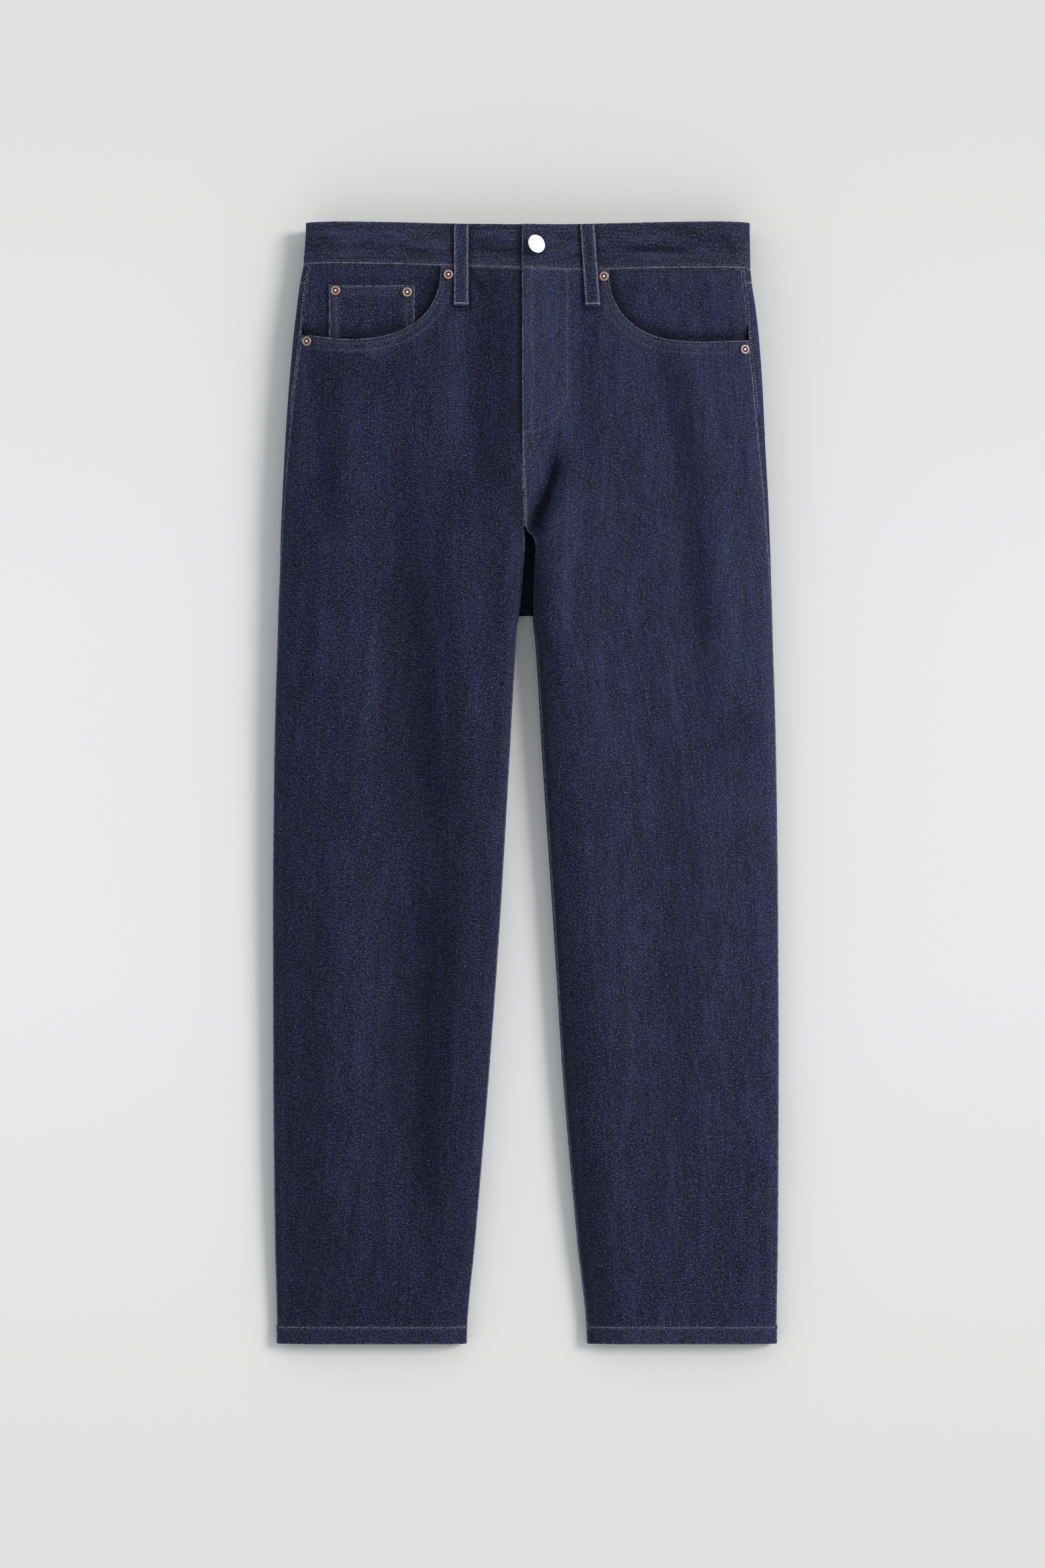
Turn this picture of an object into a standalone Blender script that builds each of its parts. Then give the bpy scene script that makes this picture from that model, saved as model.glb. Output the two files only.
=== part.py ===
"""Straight leg jeans lying on their back, front up: every sewn piece is a solid of its own.

The tables are in millimetres. x runs across to the wearer's left, down runs from the waist edge to the
hems, and z is the height above the surface that the jeans lie on. A leg, or half of the hips, is a ring
of cloth, and a place on it is given by its turn: 0 is the side edge, 0 to 1 rolls over the side,
1 to 2 crosses the front, 2 to 3 rolls to the inner edge, 3 to 4 goes under it, 4 to 5 crosses the back
on the floor, and 5 to 6 rolls up to the side edge again.
"""
import math
from collections import namedtuple

import bmesh
import bpy
from mathutils import Matrix, Vector
from mathutils.bvhtree import BVHTree

MM = 0.001

# Driving sizes
LENGTH = 1060.3            # waist edge to hem
CLOTH = 1.15               # one layer of denim
SEAM_GAP = 0.3             # between neighbouring pieces
BAND_CLOTH = 2.2           # waistband, two layers
BAND_DEPTH = 41.6          # at the middle
BAND_SLANT = 2.2           # deeper at the left side and shallower at the right
BAND_PROUD = 0.8           # how far the waistband stands above the panels
FRONT_DIP = 3.0            # the waist edge is lower at the middle of the front
BACK_DIP = 3.5             # and lower all along the back
DIP_REACH = 190.0          # the front's dip ends this far to each side
HEM_DEPTH = 17.0
HEM_CLOTH = 2.3
HEM_PROUD = 0.6
HEM_STEP = 1.4             # length over which the hem's fold thickens
SIDE_SHARE = 0.42          # height of the side edge, as a share of the crest
TURN_UNDER = 9.0           # roll from an edge down to the floor
FORK = 372.0               # where the seat ends between the legs
FORK_EDGE = 1.5            # length over which its edge turns from one leg to the other
CROTCH = 290.0             # where the front panels part
FLY_END = 200.0
FLY_TUCK = 5.0             # how far the right front runs on under the fly edge
FLY_TUCK_FADE = 15.0       # the tucked part dies away over this length below the fly
FLY_LAP = 1.9              # how much lower the right front lies at the fly edge
FLY_LAP_START = -34.0      # x where it begins to sink
FLY_LAP_END = -9.0         # and where it lies lowest
FLY_FADE_START = 218.0     # below the fly the two fronts come level again
FLY_FADE_END = 242.0
BAND_LAP = 2.8             # how much lower the right end of the waistband lies
BAND_LAP_START = -42.0
STRAIGHT_ROW = 150.0       # rows of the panels are straight from here down
YOKE_SIDE = 57.0
YOKE_CENTRE = 112.0
HIP_HALF = 215.0

Edge = namedtuple("Edge", "down side inner side_roll inner_roll")
RIGHT_EDGES = (
    Edge(0, 207.9, 3.8, 46, 40),
    Edge(40, 210.4, 3.8, 46, 40),
    Edge(58, 213.8, 3.8, 46, 40),
    Edge(76, 216.1, 3.8, 46, 40),
    Edge(142, 223.0, 3.8, 46, 40),
    Edge(218, 228.1, 3.6, 46, 38),
    Edge(270, 230.7, 1.2, 45, 30),
    Edge(290, 231.6, 0.8, 44, 24),
    Edge(303, 232.0, 0.2, 44, 20),
    Edge(331, 232.7, 1.9, 43, 15),
    Edge(366, 234.2, 4.9, 42, 15),
    Edge(382, 234.6, 8.0, 42, 13),
    Edge(394, 235.0, 8.8, 42, 14),
    Edge(508, 238.1, 15.1, 42, 28),
    Edge(659, 239.4, 23.9, 44, 30),
    Edge(810, 239.1, 34.7, 52, 30),
    Edge(960, 237.6, 47.2, 54, 28),
    Edge(1060.3, 235.6, 55.4, 48, 26),
)
LEFT_EDGES = (
    Edge(0, 211.7, -3.8, 40, 40),
    Edge(40, 212.3, -3.8, 40, 40),
    Edge(62, 214.3, -3.8, 40, 40),
    Edge(76, 216.7, -3.8, 40, 40),
    Edge(142, 223.0, -3.8, 40, 40),
    Edge(218, 226.8, -3.6, 40, 38),
    Edge(270, 229.6, -1.2, 40, 30),
    Edge(288, 230.3, -0.8, 40, 26),
    Edge(300, 230.8, 7.6, 40, 22),
    Edge(308, 231.1, 8.2, 40, 20),
    Edge(331, 231.8, 6.9, 40, 18),
    Edge(366, 232.9, 6.1, 40, 17),
    Edge(382, 233.3, 6.7, 40, 19),
    Edge(394, 233.7, 8.2, 40, 24),
    Edge(508, 236.9, 15.1, 40, 50),
    Edge(659, 238.8, 25.2, 40, 56),
    Edge(810, 239.4, 34.7, 38, 56),
    Edge(960, 238.8, 47.8, 36, 50),
    Edge(1060.3, 237.5, 57.3, 34, 42),
)

# crest: height of the front; floor: height of the back's underside, raised over pockets and loops;
# inner_share: height of the inner edge as a share of the crest
Loft = namedtuple("Loft", "down crest floor inner_share")
LOFTS = (
    Loft(0, 25.0, 2.2, 1.0),
    Loft(41, 26.5, 2.2, 1.0),
    Loft(96, 28.5, 2.2, 1.0),
    Loft(108, 29.0, 1.5, 1.0),
    Loft(200, 29.0, 1.5, 1.0),
    Loft(284, 28.0, 1.5, 1.0),
    Loft(296, 27.8, 1.5, 0.86),
    Loft(303, 27.6, 1.3, 0.62),
    Loft(315, 27.4, 0.9, 0.42),
    Loft(331, 27.0, 0.4, 0.30),
    Loft(351, 26.8, 0.0, 0.25),
    Loft(372, 26.5, 0.0, 0.25),
    Loft(394, 26.0, 0.0, 0.36),
    Loft(430, 25.5, 0.0, 0.42),
    Loft(508, 24.5, 0.0, 0.42),
    Loft(659, 22.5, 0.0, 0.42),
    Loft(810, 20.5, 0.0, 0.42),
    Loft(910, 18.5, 0.0, 0.42),
    Loft(1000, 14.8, 0.0, 0.42),
    Loft(1043, 13.0, 0.0, 0.42),
    Loft(1060.3, 12.6, 0.0, 0.42),
)

# Seams: how far inside the side edge the side seam lies, and the turn of the inner leg seam
Seam = namedtuple("Seam", "down right_inset left_inset inner_turn centre_back")
SEAMS = (
    Seam(0, 6.5, 9.5, 3.0, 0.0),
    Seam(60, 7.0, 8.0, 3.0, 0.0),
    Seam(110, 7.5, 10.0, 3.0, 0.0),
    Seam(180, 4.8, 7.5, 3.0, 0.0),
    Seam(260, 2.0, 4.0, 3.0, 0.5),
    Seam(286, 1.5, 3.0, 3.0, 1.5),
    Seam(290, 1.4, 2.8, 2.80, 1.7),
    Seam(331, 0.6, 1.4, 2.80, 3.0),
    Seam(372, 0.4, 0.6, 2.80, 3.0),
    Seam(500, 0.4, 0.4, 2.84, 3.0),
    Seam(1060.3, 0.4, 0.4, 2.88, 3.0),
)

# The largest folds: a soft ridge (height over 0) or trough along a line that may bow sideways
Fold = namedtuple("Fold", "x0 down0 x1 down1 bow half_width height")
FOLDS = (
    Fold(-160, 90, -158, 560, 2, 30, 3.0),        # outer ridge of the right thigh
    Fold(-158, 480, -172, 1040, -4, 30, 3.0),     # and of the right shin
    Fold(-122, 250, -106, 640, 2, 34, -8.0),      # long trough down the right leg
    Fold(-107, 560, -112, 1000, 6, 33, -8.0),
    Fold(-64, 230, -60, 620, 0, 20, 2.5),         # inner ridge of the right leg
    Fold(-60, 560, -88, 1030, 2, 18, 2.5),
    Fold(-198, 100, -196, 300, 0, 15, -4.5),      # under the right pocket
    Fold(-128, 220, -118, 330, 0, 12, -2.0),
    Fold(-8, -80, -8, 330, 0, 33, 8.0),           # swell under the fly
    Fold(52, 30, 50, 270, 0, 13, -3.0),           # and the trough beside it
    Fold(31, 205, -3, 316, 3.5, 10, -9.0),        # deep fold that runs into the crotch
    Fold(38, 190, 6, 246, 0, 8, -2.0),
    Fold(42, 225, 32, 430, -6, 14, 3.0),          # ridge beside it
    Fold(110, 60, 160, 470, 14, 14, -4.0),        # slanting fold below the left pocket
    Fold(136, 60, 186, 500, 14, 18, 5.0),
    Fold(110, 420, 128, 820, 6, 26, -2.4),
    Fold(170, 480, 178, 1000, 0, 30, 2.0),
    Fold(80, 600, 92, 1020, 0, 24, 1.6),
)
FOLD_FADE = 0.3            # share of a fold's length over which each end dies away

# Pocket mouth: a quarter of a superellipse from the waistband, then a gentle rise to the side seam
Mouth = namedtuple("Mouth", "start top reach bottom rise")
RIGHT_MOUTH = Mouth(80.3, 41.6, 88.0, 111.5, 4.5)
LEFT_MOUTH = Mouth(78.1, 43.5, 85.0, 114.0, 1.5)
MOUTH_POWER = 2.4

Side = namedtuple("Side", "name sign edges mouth")
RIGHT = Side("right", -1, RIGHT_EDGES, RIGHT_MOUTH)
LEFT = Side("left", 1, LEFT_EDGES, LEFT_MOUTH)
SIDES = (RIGHT, LEFT)

# Rows of the panels from the straight row down, and turns of the columns across the front
LEG_ROWS = (STRAIGHT_ROW, 185, 218, 241, 260, 275, 286, CROTCH, 296, 303, 315, 331, 351,
            FORK - FORK_EDGE, FORK, 382, 394, 430, 470, 510, 560, 610, 660, 710, 760, 810, 860, 910, 960, 1003,
            LENGTH - HEM_DEPTH - HEM_STEP, LENGTH - HEM_DEPTH, LENGTH)
TOP_CELLS = 3
INNER_CELLS = 5
FRONT_TURNS = (1.0, 1.22, 1.4, 1.5, 1.57, 1.63, 1.68, 1.72, 1.86, 2.0)
BACK_TURNS = (3.67, 4.0, 4.33, 4.67, 5.0, 5.33, 5.67)
BAND_TURNS = (3.0, 2.67, 2.33, 2.0, 1.75, 1.5, 1.25, 1.0, 0.7, 0.45, 0.2, 0.0)
BAND_UNDER_TURNS = (5.67, 5.33, 5.0, 4.5, 4.0)
BAND_CELLS = 3

# Belt loops
LOOP_WIDTH = 13.5
LOOP_END = 77.5
LOOP_CLOTH = 1.8
LOOP_LIFT = 0.5
LOOP_SPAN = 4.0            # a loop bridges over steps shorter than this
LOOP_ROWS = (0.4, 12, 26, 38, 44.8, 54, 66, LOOP_END)
Loop = namedtuple("Loop", "name top_x end_x")
FRONT_LOOPS = (
    Loop("belt_loop_front_right", -61.0, -61.0),
    Loop("belt_loop_front_left", 57.7, 63.0),
)
BACK_LOOPS = (
    Loop("belt_loop_side_right", -140.0, -140.0),
    Loop("belt_loop_back", 0.0, 0.0),
    Loop("belt_loop_side_left", 140.0, 140.0),
)

# Facings behind the pocket mouths, and the coin pocket on the right one
FACING_ROWS = (42.2, 50.0, 60.5, 72.0, 84.0, 97.0, 112.0, 126.0)
FACING_COLUMNS = (197.0, 186.0, 170.0, 150.0, 128.0, 105.0, 85.0, 66.0)
FACING_TOP = 1.5           # depth under the panels' face at the waistband and the side seam
FACING_DEPTH = 4.0         # and in the pocket
FACING_SLOPE_END = 75.0    # how far down the pocket's depth is reached
FACING_SIDE = 20.0         # and how far in from the side seam
FACING_COVER = 97.0        # below this the front comes to lie over the side seam too
FACING_COVER_END = 107.0
COIN_COLUMNS = (186.0, 170.0, 150.0, 128.0, 105.0)
COIN_ROWS = (60.5, 72.0, 84.0, 97.0, 112.0)

# Back patch pockets
BACK_POCKET_CENTRE = 106.0
BACK_POCKET_TOP = 120.0
BACK_POCKET_WIDTH = 152.0
BACK_POCKET_TAPER = 14.0
BACK_POCKET_DEPTH = 145.0
BACK_POCKET_POINT = 22.0
BACK_POCKET_CLOTH = 1.2

# Hardware
RIVET_RADIUS = 4.8
Rivet = namedtuple("Rivet", "name x down")
RIVETS = (
    Rivet("coin_outer", -179.6, 65.2),
    Rivet("coin_inner", -112.0, 66.8),
    Rivet("pocket_right", -73.0, 50.4),
    Rivet("pocket_left", 73.6, 52.3),
    Rivet("side_right", -206.4, 113.0),
    Rivet("side_left", 206.4, 121.0),
)
RIVET_CAP = ((1.9, 0.0), (4.8, 0.0), (4.7, 0.7), (3.9, 1.3), (2.7, 1.2), (1.9, 0.7))
RIVET_BURR = ((0.0, 0.0), (1.5, 0.0), (1.4, 0.7), (0.8, 1.1), (0.0, 1.2))
BUTTON_X = 9.5
BUTTON_DOWN = 21.2
BUTTON_NECK = 3.4
BUTTON_TILT = math.radians(17)     # the button leans on its neck
BUTTON_LEAN = math.radians(33)     # towards the wearer's left and up
BUTTON_FACE = ((0.0, 0.0), (BUTTON_NECK, 0.0), (BUTTON_NECK, 2.2), (7.7, 2.4), (8.5, 3.1), (8.3, 3.8),
               (7.5, 4.2), (6.5, 3.9), (4.4, 4.0), (2.4, 4.2), (0.0, 4.2))


# ---- the shape of the cloth

def mix(low, high, share):
    return low + (high - low) * share


def ease(low, high, value):
    """0 below low, 1 above high, and a soft step between them."""
    share = min(max((value - low) / (high - low), 0.0), 1.0)
    return share * share * (3 - 2 * share)


def along(table, down, column):
    """A table's value at a distance down: smooth, through every row, and never past a neighbour."""
    downs = [row.down for row in table]
    values = [getattr(row, column) for row in table]
    down = min(max(down, downs[0]), downs[-1])
    place = next(i for i in range(1, len(downs)) if down <= downs[i])

    def slope(i):
        if i in (0, len(downs) - 1):
            return 0.0
        before = (values[i] - values[i - 1]) / (downs[i] - downs[i - 1])
        after = (values[i + 1] - values[i]) / (downs[i + 1] - downs[i])
        return 2 * before * after / (before + after) if before * after > 0 else 0.0

    step = downs[place] - downs[place - 1]
    share = (down - downs[place - 1]) / step
    rise = values[place] - values[place - 1]
    start = slope(place - 1) * step
    end = slope(place) * step
    return (values[place - 1] + start * share + (3 * rise - 2 * start - end) * share ** 2
            + (start + end - 2 * rise) * share ** 3)


def fold_height(x, down):
    """What all the folds together add to the front's height."""
    total = 0.0
    for fold in FOLDS:
        share = (down - fold.down0) / (fold.down1 - fold.down0)
        if 0 < share < 1:
            line = mix(fold.x0, fold.x1, share) + fold.bow * 4 * share * (1 - share)
            run = (fold.x1 - fold.x0) / (fold.down1 - fold.down0)
            away = (x - line) / math.hypot(1, run) / fold.half_width
            ends = ease(0, FOLD_FADE, share) * ease(0, FOLD_FADE, 1 - share)
            total += fold.height * ends * math.exp(-away * away)
    return total


def fly_step(side, x, down):
    """The right front lies lower where the fly edge laps over it."""
    if side is LEFT:
        return 0.0
    return FLY_LAP * ease(FLY_LAP_START, FLY_LAP_END, x) * (1 - ease(FLY_FADE_START, FLY_FADE_END, down))


def front_height(side, x, down):
    return along(LOFTS, down, "crest") + fold_height(x, down) - fly_step(side, x, down)


def outer_edge(side, down):
    return along(side.edges, down, "side")


def inner_edge(side, down):
    """Distance out from the middle line to the inner edge of the front."""
    tuck = FLY_TUCK * (1 - ease(FLY_END, FLY_END + FLY_TUCK_FADE, down)) if side is RIGHT else 0.0
    return along(side.edges, down, "inner") + SEAM_GAP / 2 - tuck


def under_edge(side, down):
    """The same for the back: the centre back seam, or the inner leg below the fork."""
    if down >= FORK:
        return inner_edge(side, down)
    return side.sign * along(SEAMS, down, "centre_back") + SEAM_GAP / 2


def ring(side, down, turn):
    """x and z of the cloth's outside at a turn."""
    turn = turn - 6 if turn >= 6 else turn
    floor = along(LOFTS, down, "floor")
    outer = outer_edge(side, down)
    side_roll = along(side.edges, down, "side_roll")
    inner_roll = along(side.edges, down, "inner_roll")
    inner = inner_edge(side, down)
    if turn > 3:
        inner = under_edge(side, down)
        if turn <= 4:
            angle = (turn - 3) * math.pi / 2
            out = inner + TURN_UNDER * (1 - math.cos(angle))
            top = inner_height(side, down) if down >= FORK else 0.0
            return side.sign * out, floor + top * (1 - math.sin(angle))
        if turn <= 5:
            return side.sign * mix(inner + TURN_UNDER, outer - TURN_UNDER, turn - 4), floor
        angle = (6 - turn) * math.pi / 2
        out = outer - TURN_UNDER * (1 - math.cos(angle))
        return side.sign * out, floor + side_height(side, down) * (1 - math.sin(angle))
    if turn <= 1:
        out = outer - side_roll * (1 - math.cos(turn * math.pi / 2))
    elif turn <= 2:
        out = mix(outer - side_roll, inner + inner_roll, turn - 1)
    else:
        out = inner + inner_roll * (1 - math.cos((3 - turn) * math.pi / 2))
    return side.sign * out, top_height(side, side.sign * out, down)


def side_height(side, down):
    """Height of the side edge above the back's underside."""
    crest = front_height(side, side.sign * outer_edge(side, down), down) - along(LOFTS, down, "floor")
    return SIDE_SHARE * crest


def inner_height(side, down):
    crest = front_height(side, side.sign * inner_edge(side, down), down) - along(LOFTS, down, "floor")
    return along(LOFTS, down, "inner_share") * crest


def top_height(side, x, down):
    """Height of the front at any x, with the rolls to its two edges."""
    out = side.sign * x
    floor = along(LOFTS, down, "floor")
    crest = front_height(side, x, down) - floor
    side_roll = along(side.edges, down, "side_roll")
    inner_roll = along(side.edges, down, "inner_roll")
    from_side = min(max((outer_edge(side, down) - out) / side_roll, 0.0), 1.0)
    from_inner = min(max((out - inner_edge(side, down)) / inner_roll, 0.0), 1.0)
    inner_share = along(LOFTS, down, "inner_share")
    crest *= mix(SIDE_SHARE, 1, math.sqrt(1 - (1 - from_side) ** 2))
    crest *= mix(inner_share, 1, math.sqrt(1 - (1 - from_inner) ** 2))
    return floor + crest


def outward(side, down, turn):
    """Direction out of the cloth at a turn, in the plane across the leg."""
    before = turn - 0.02
    after = turn + 0.02
    if turn <= 3 < after:
        after = turn
    if before <= 3 < turn:
        before = turn
    x0, z0 = ring(side, down, before % 6)
    x1, z1 = ring(side, down, after % 6)
    size = math.hypot(x1 - x0, z1 - z0)
    return side.sign * (z1 - z0) / size, -side.sign * (x1 - x0) / size


def beside(side, down, turn, gap):
    """The turn that lies a gap further round."""
    x0, z0 = ring(side, down, (turn - 0.01) % 6)
    x1, z1 = ring(side, down, (turn + 0.01) % 6 if turn < 3 else turn % 6)
    reach = math.hypot(x1 - x0, z1 - z0) / (0.02 if turn < 3 else 0.01)
    return turn + gap / reach


def place(x, down, z):
    return Vector((x * MM, (LENGTH / 2 - down) * MM, z * MM))


def skin(side, down, turn, proud, thickness, face):
    """A corner of a wall on the ring: face 0 stands proud of it, face 1 is the thickness further in."""
    x, z = ring(side, down, turn)
    nx, nz = outward(side, down, turn)
    offset = proud * max(nz, 0.0) - thickness * face
    return place(x + nx * offset, down, z + nz * offset)


def side_turn(side, down):
    """Turn of the side seam."""
    inset = along(SEAMS, down, side.name + "_inset")
    roll = along(side.edges, down, "side_roll")
    return math.acos(1 - inset / roll) / (math.pi / 2)


def mouth_down(mouth, out):
    """How far down the edge of a pocket mouth lies, at a distance out from the middle line."""
    share = min(max((out - mouth.start) / mouth.reach, 0.0), 1.0)
    drop = (1 - (1 - share) ** MOUTH_POWER) ** (1 / MOUTH_POWER)
    rise = mouth.rise * ease(mouth.start + mouth.reach, HIP_HALF, out)
    return mix(mouth.top, mouth.bottom, drop) - rise


def band_edge(x):
    """How far down the waistband's seam lies."""
    return BAND_DEPTH + BAND_SLANT * x / HIP_HALF


def waist_edge(x, under):
    dip = FRONT_DIP * (1 - ease(0, DIP_REACH, abs(x)))
    return BACK_DIP if under else dip


def yoke_edge(x):
    return mix(YOKE_CENTRE, YOKE_SIDE, min(abs(x) / HIP_HALF, 1.0))


# ---- making pieces

def clear_scene():
    for old in list(bpy.data.objects):
        bpy.data.objects.remove(old, do_unlink=True)


def finish(name, colour, roughness, metallic=0.0):
    material = bpy.data.materials.new(name)
    material.use_nodes = True
    shader = material.node_tree.nodes["Principled BSDF"]
    shader.inputs["Base Color"].default_value = (*colour, 1)
    shader.inputs["Roughness"].default_value = roughness
    shader.inputs["Metallic"].default_value = metallic
    material.diffuse_color = (*colour, 1)
    return material


def add_piece(name, bm, material):
    """Turn a finished bmesh into an object, and give back its faces to lay other pieces on."""
    bmesh.ops.recalc_face_normals(bm, faces=bm.faces)
    mesh = bpy.data.meshes.new(name)
    bm.to_mesh(mesh)
    faces = BVHTree.FromBMesh(bm)
    bm.free()
    mesh.materials.append(material)
    mesh.shade_smooth()
    mesh.set_sharp_from_angle(angle=math.radians(40))
    piece = bpy.data.objects.new(name, mesh)
    bpy.context.collection.objects.link(piece)
    return faces


def sew(name, columns, rows, corner, material, keep=None):
    """Make one piece of cloth: a grid, doubled into a wall, with each corner put in its place.

    corner(column, row, face) gives a corner's place; face 0 is the outside and 1 the inside.
    keep(column, row) says whether a cell of the grid is part of the piece.
    """
    bm = bmesh.new()
    bmesh.ops.create_grid(bm, x_segments=columns, y_segments=rows, size=0.5)

    def cell(point):
        return (point.x + 0.5) * columns, (point.y + 0.5) * rows

    if keep:
        centres = {face: cell(face.calc_center_median()) for face in bm.faces}
        cut = [face for face, (i, j) in centres.items() if not keep(int(i), int(j))]
        bmesh.ops.delete(bm, geom=cut, context="FACES")
    outside = set(bm.verts)
    bmesh.ops.extrude_face_region(bm, geom=bm.faces[:])
    corners = [(vert, cell(vert.co), 0 if vert in outside else 1) for vert in bm.verts]
    for vert, (i, j), face in corners:
        vert.co = corner(round(i), round(j), face)
    return add_piece(name, bm, material)


def drop(carriers, x, down):
    """The highest point of the carriers at a place, seen from above, and its direction."""
    starts = (place(x, down, 100), place(x, down + 2 * SEAM_GAP, 100))
    hits = [faces.ray_cast(start, Vector((0, 0, -1))) for faces in carriers for start in starts]
    hits = [(point, normal) for point, normal, index, distance in hits if point]
    return max(hits, key=lambda hit: hit[0].z)


def seat(carriers, x, down, radius):
    """The frame in which a round piece lies on its carriers, clear of them all round."""
    angles = [step * math.tau / 12 for step in range(12)]
    around = [drop(carriers, x + radius * math.cos(a), down + radius * math.sin(a)) for a in angles]
    around.append(drop(carriers, x, down))
    centre = around[-1][0]
    normal = sum((hit[1] for hit in around), Vector()).normalized()
    lift = max((hit[0] - centre).dot(normal) for hit in around)
    return centre + normal * (lift + SEAM_GAP * MM), normal


def turned(name, profile, steps, centre, axis, material):
    """Spin a profile of (radius, height) into a round piece that stands on its centre along an axis."""
    bm = bmesh.new()
    verts = [bm.verts.new((radius * MM, 0, height * MM)) for radius, height in profile]
    edges = [bm.edges.new(pair) for pair in zip(verts, verts[1:])]
    if profile[0][0] > 0:
        edges.append(bm.edges.new((verts[-1], verts[0])))
    bmesh.ops.spin(bm, geom=verts + edges, axis=(0, 0, 1), cent=(0, 0, 0), angle=math.tau, steps=steps,
                   use_merge=True)
    bmesh.ops.remove_doubles(bm, verts=bm.verts, dist=0.00001)
    frame = axis.to_track_quat("Z", "Y").to_matrix().to_4x4()
    bmesh.ops.transform(bm, matrix=Matrix.Translation(centre) @ frame, verts=bm.verts)
    add_piece(name, bm, material)


# ---- the jeans' pieces

def panel_rows(top):
    """Rows from a sloping top edge, through the straight row, down to the hem."""
    return [mix(top, STRAIGHT_ROW, step / TOP_CELLS) for step in range(TOP_CELLS)] + list(LEG_ROWS)


def panel_corner(side, down, turn, face):
    hem = down > LENGTH - HEM_DEPTH - HEM_STEP / 2
    return skin(side, down, turn, HEM_PROUD if hem else 0.0, HEM_CLOTH if hem else CLOTH, face)


def make_front(side, denim):
    columns = len(FRONT_TURNS) + 1 + INNER_CELLS

    def turn_at(column, down):
        seam = beside(side, down, side_turn(side, down), SEAM_GAP / 2)
        inner = along(SEAMS, down, "inner_turn")
        if column <= 1:
            return mix(seam, 1, column / 2)
        if column < len(FRONT_TURNS) + 2:
            return FRONT_TURNS[column - 2]
        last = 3.0 if inner > 2.99 else beside(side, down, inner, -SEAM_GAP / 2)
        return mix(2, last, (column - len(FRONT_TURNS) - 1) / INNER_CELLS)

    def top_at(column):
        out = abs(ring(side, mouth.bottom, turn_at(column, mouth.bottom))[0])
        if out > mouth.start:
            return mouth_down(mouth, out)
        return band_edge(side.sign * out) + SEAM_GAP

    mouth = side.mouth
    tops = [top_at(column) for column in range(columns + 1)]

    def corner(column, row, face):
        down = panel_rows(tops[column])[row]
        return panel_corner(side, down, turn_at(column, down), face)

    return sew("front_" + side.name, columns, TOP_CELLS + len(LEG_ROWS) - 1, corner, denim)


def back_turn(side, down, column):
    """Turns of the back's columns: three up to the inner leg seam, then the floor and the side."""
    if column <= 2:
        inner = along(SEAMS, down, "inner_turn")
        return mix(beside(side, down, inner, SEAM_GAP / 2), 3.0, column / 2)
    if column == 3:
        return 3.33 if down >= FORK else 3.0001
    if column < len(BACK_TURNS) + 4:
        return BACK_TURNS[column - 4]
    seam = beside(side, down, side_turn(side, down), -SEAM_GAP / 2) + 6
    return mix(BACK_TURNS[-1], seam, (column - len(BACK_TURNS) - 3) / 3)


def back_top(side, column):
    """How far down the yoke seam crosses a column."""
    if column <= 3:
        return YOKE_CENTRE
    return yoke_edge(ring(side, YOKE_CENTRE, back_turn(side, YOKE_CENTRE, column) % 6)[0])


def make_back(side, denim):
    columns = len(BACK_TURNS) + 6
    crotch_row = TOP_CELLS + LEG_ROWS.index(CROTCH)
    fork_row = TOP_CELLS + LEG_ROWS.index(FORK)
    tops = [back_top(side, column) + SEAM_GAP / 2 for column in range(columns + 1)]

    def keep(column, row):
        if column <= 1:
            return row >= crotch_row
        return column > 2 or row >= fork_row

    def corner(column, row, face):
        down = panel_rows(tops[column])[row]
        return panel_corner(side, down, back_turn(side, down, column), face)

    return sew("back_" + side.name, columns, TOP_CELLS + len(LEG_ROWS) - 1, corner, denim, keep)


def make_yoke(side, denim):
    columns = len(BACK_TURNS) + 3
    rows = 3

    def corner(column, row, face):
        bottom = back_top(side, column + 3) - SEAM_GAP / 2
        x = ring(side, bottom, back_turn(side, bottom, column + 3) % 6)[0]
        down = mix(band_edge(x) + SEAM_GAP, bottom, row / rows)
        return skin(side, down, back_turn(side, down, column + 3), 0.0, CLOTH, face)

    sew("yoke_" + side.name, columns, rows, corner, denim)


def make_waistband(denim):
    """One strip from its left end at the fly, round the back, to its right end under the fly."""
    half = [(LEFT, turn) for turn in BAND_TURNS + BAND_UNDER_TURNS]
    path = half + [(RIGHT, turn) for side, turn in reversed(half)]

    def corner(column, row, face):
        side, turn = path[column]
        x = ring(side, band_edge(0) / 2, turn)[0]
        down = mix(waist_edge(x, turn > 3), band_edge(x), row / BAND_CELLS)
        lap = BAND_LAP * ease(BAND_LAP_START, FLY_LAP_END, x) if side is RIGHT and turn <= 3 else 0.0
        place_x, place_z = ring(side, down, turn)
        nx, nz = outward(side, down, turn)
        if lap:
            lap -= fly_step(side, place_x, down)
        offset = BAND_PROUD * max(nz, 0.0) - BAND_CLOTH * face - lap
        return place(place_x + nx * offset, down, place_z + nz * offset)

    return sew("waistband", len(path) - 1, BAND_CELLS, corner, denim)


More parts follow.
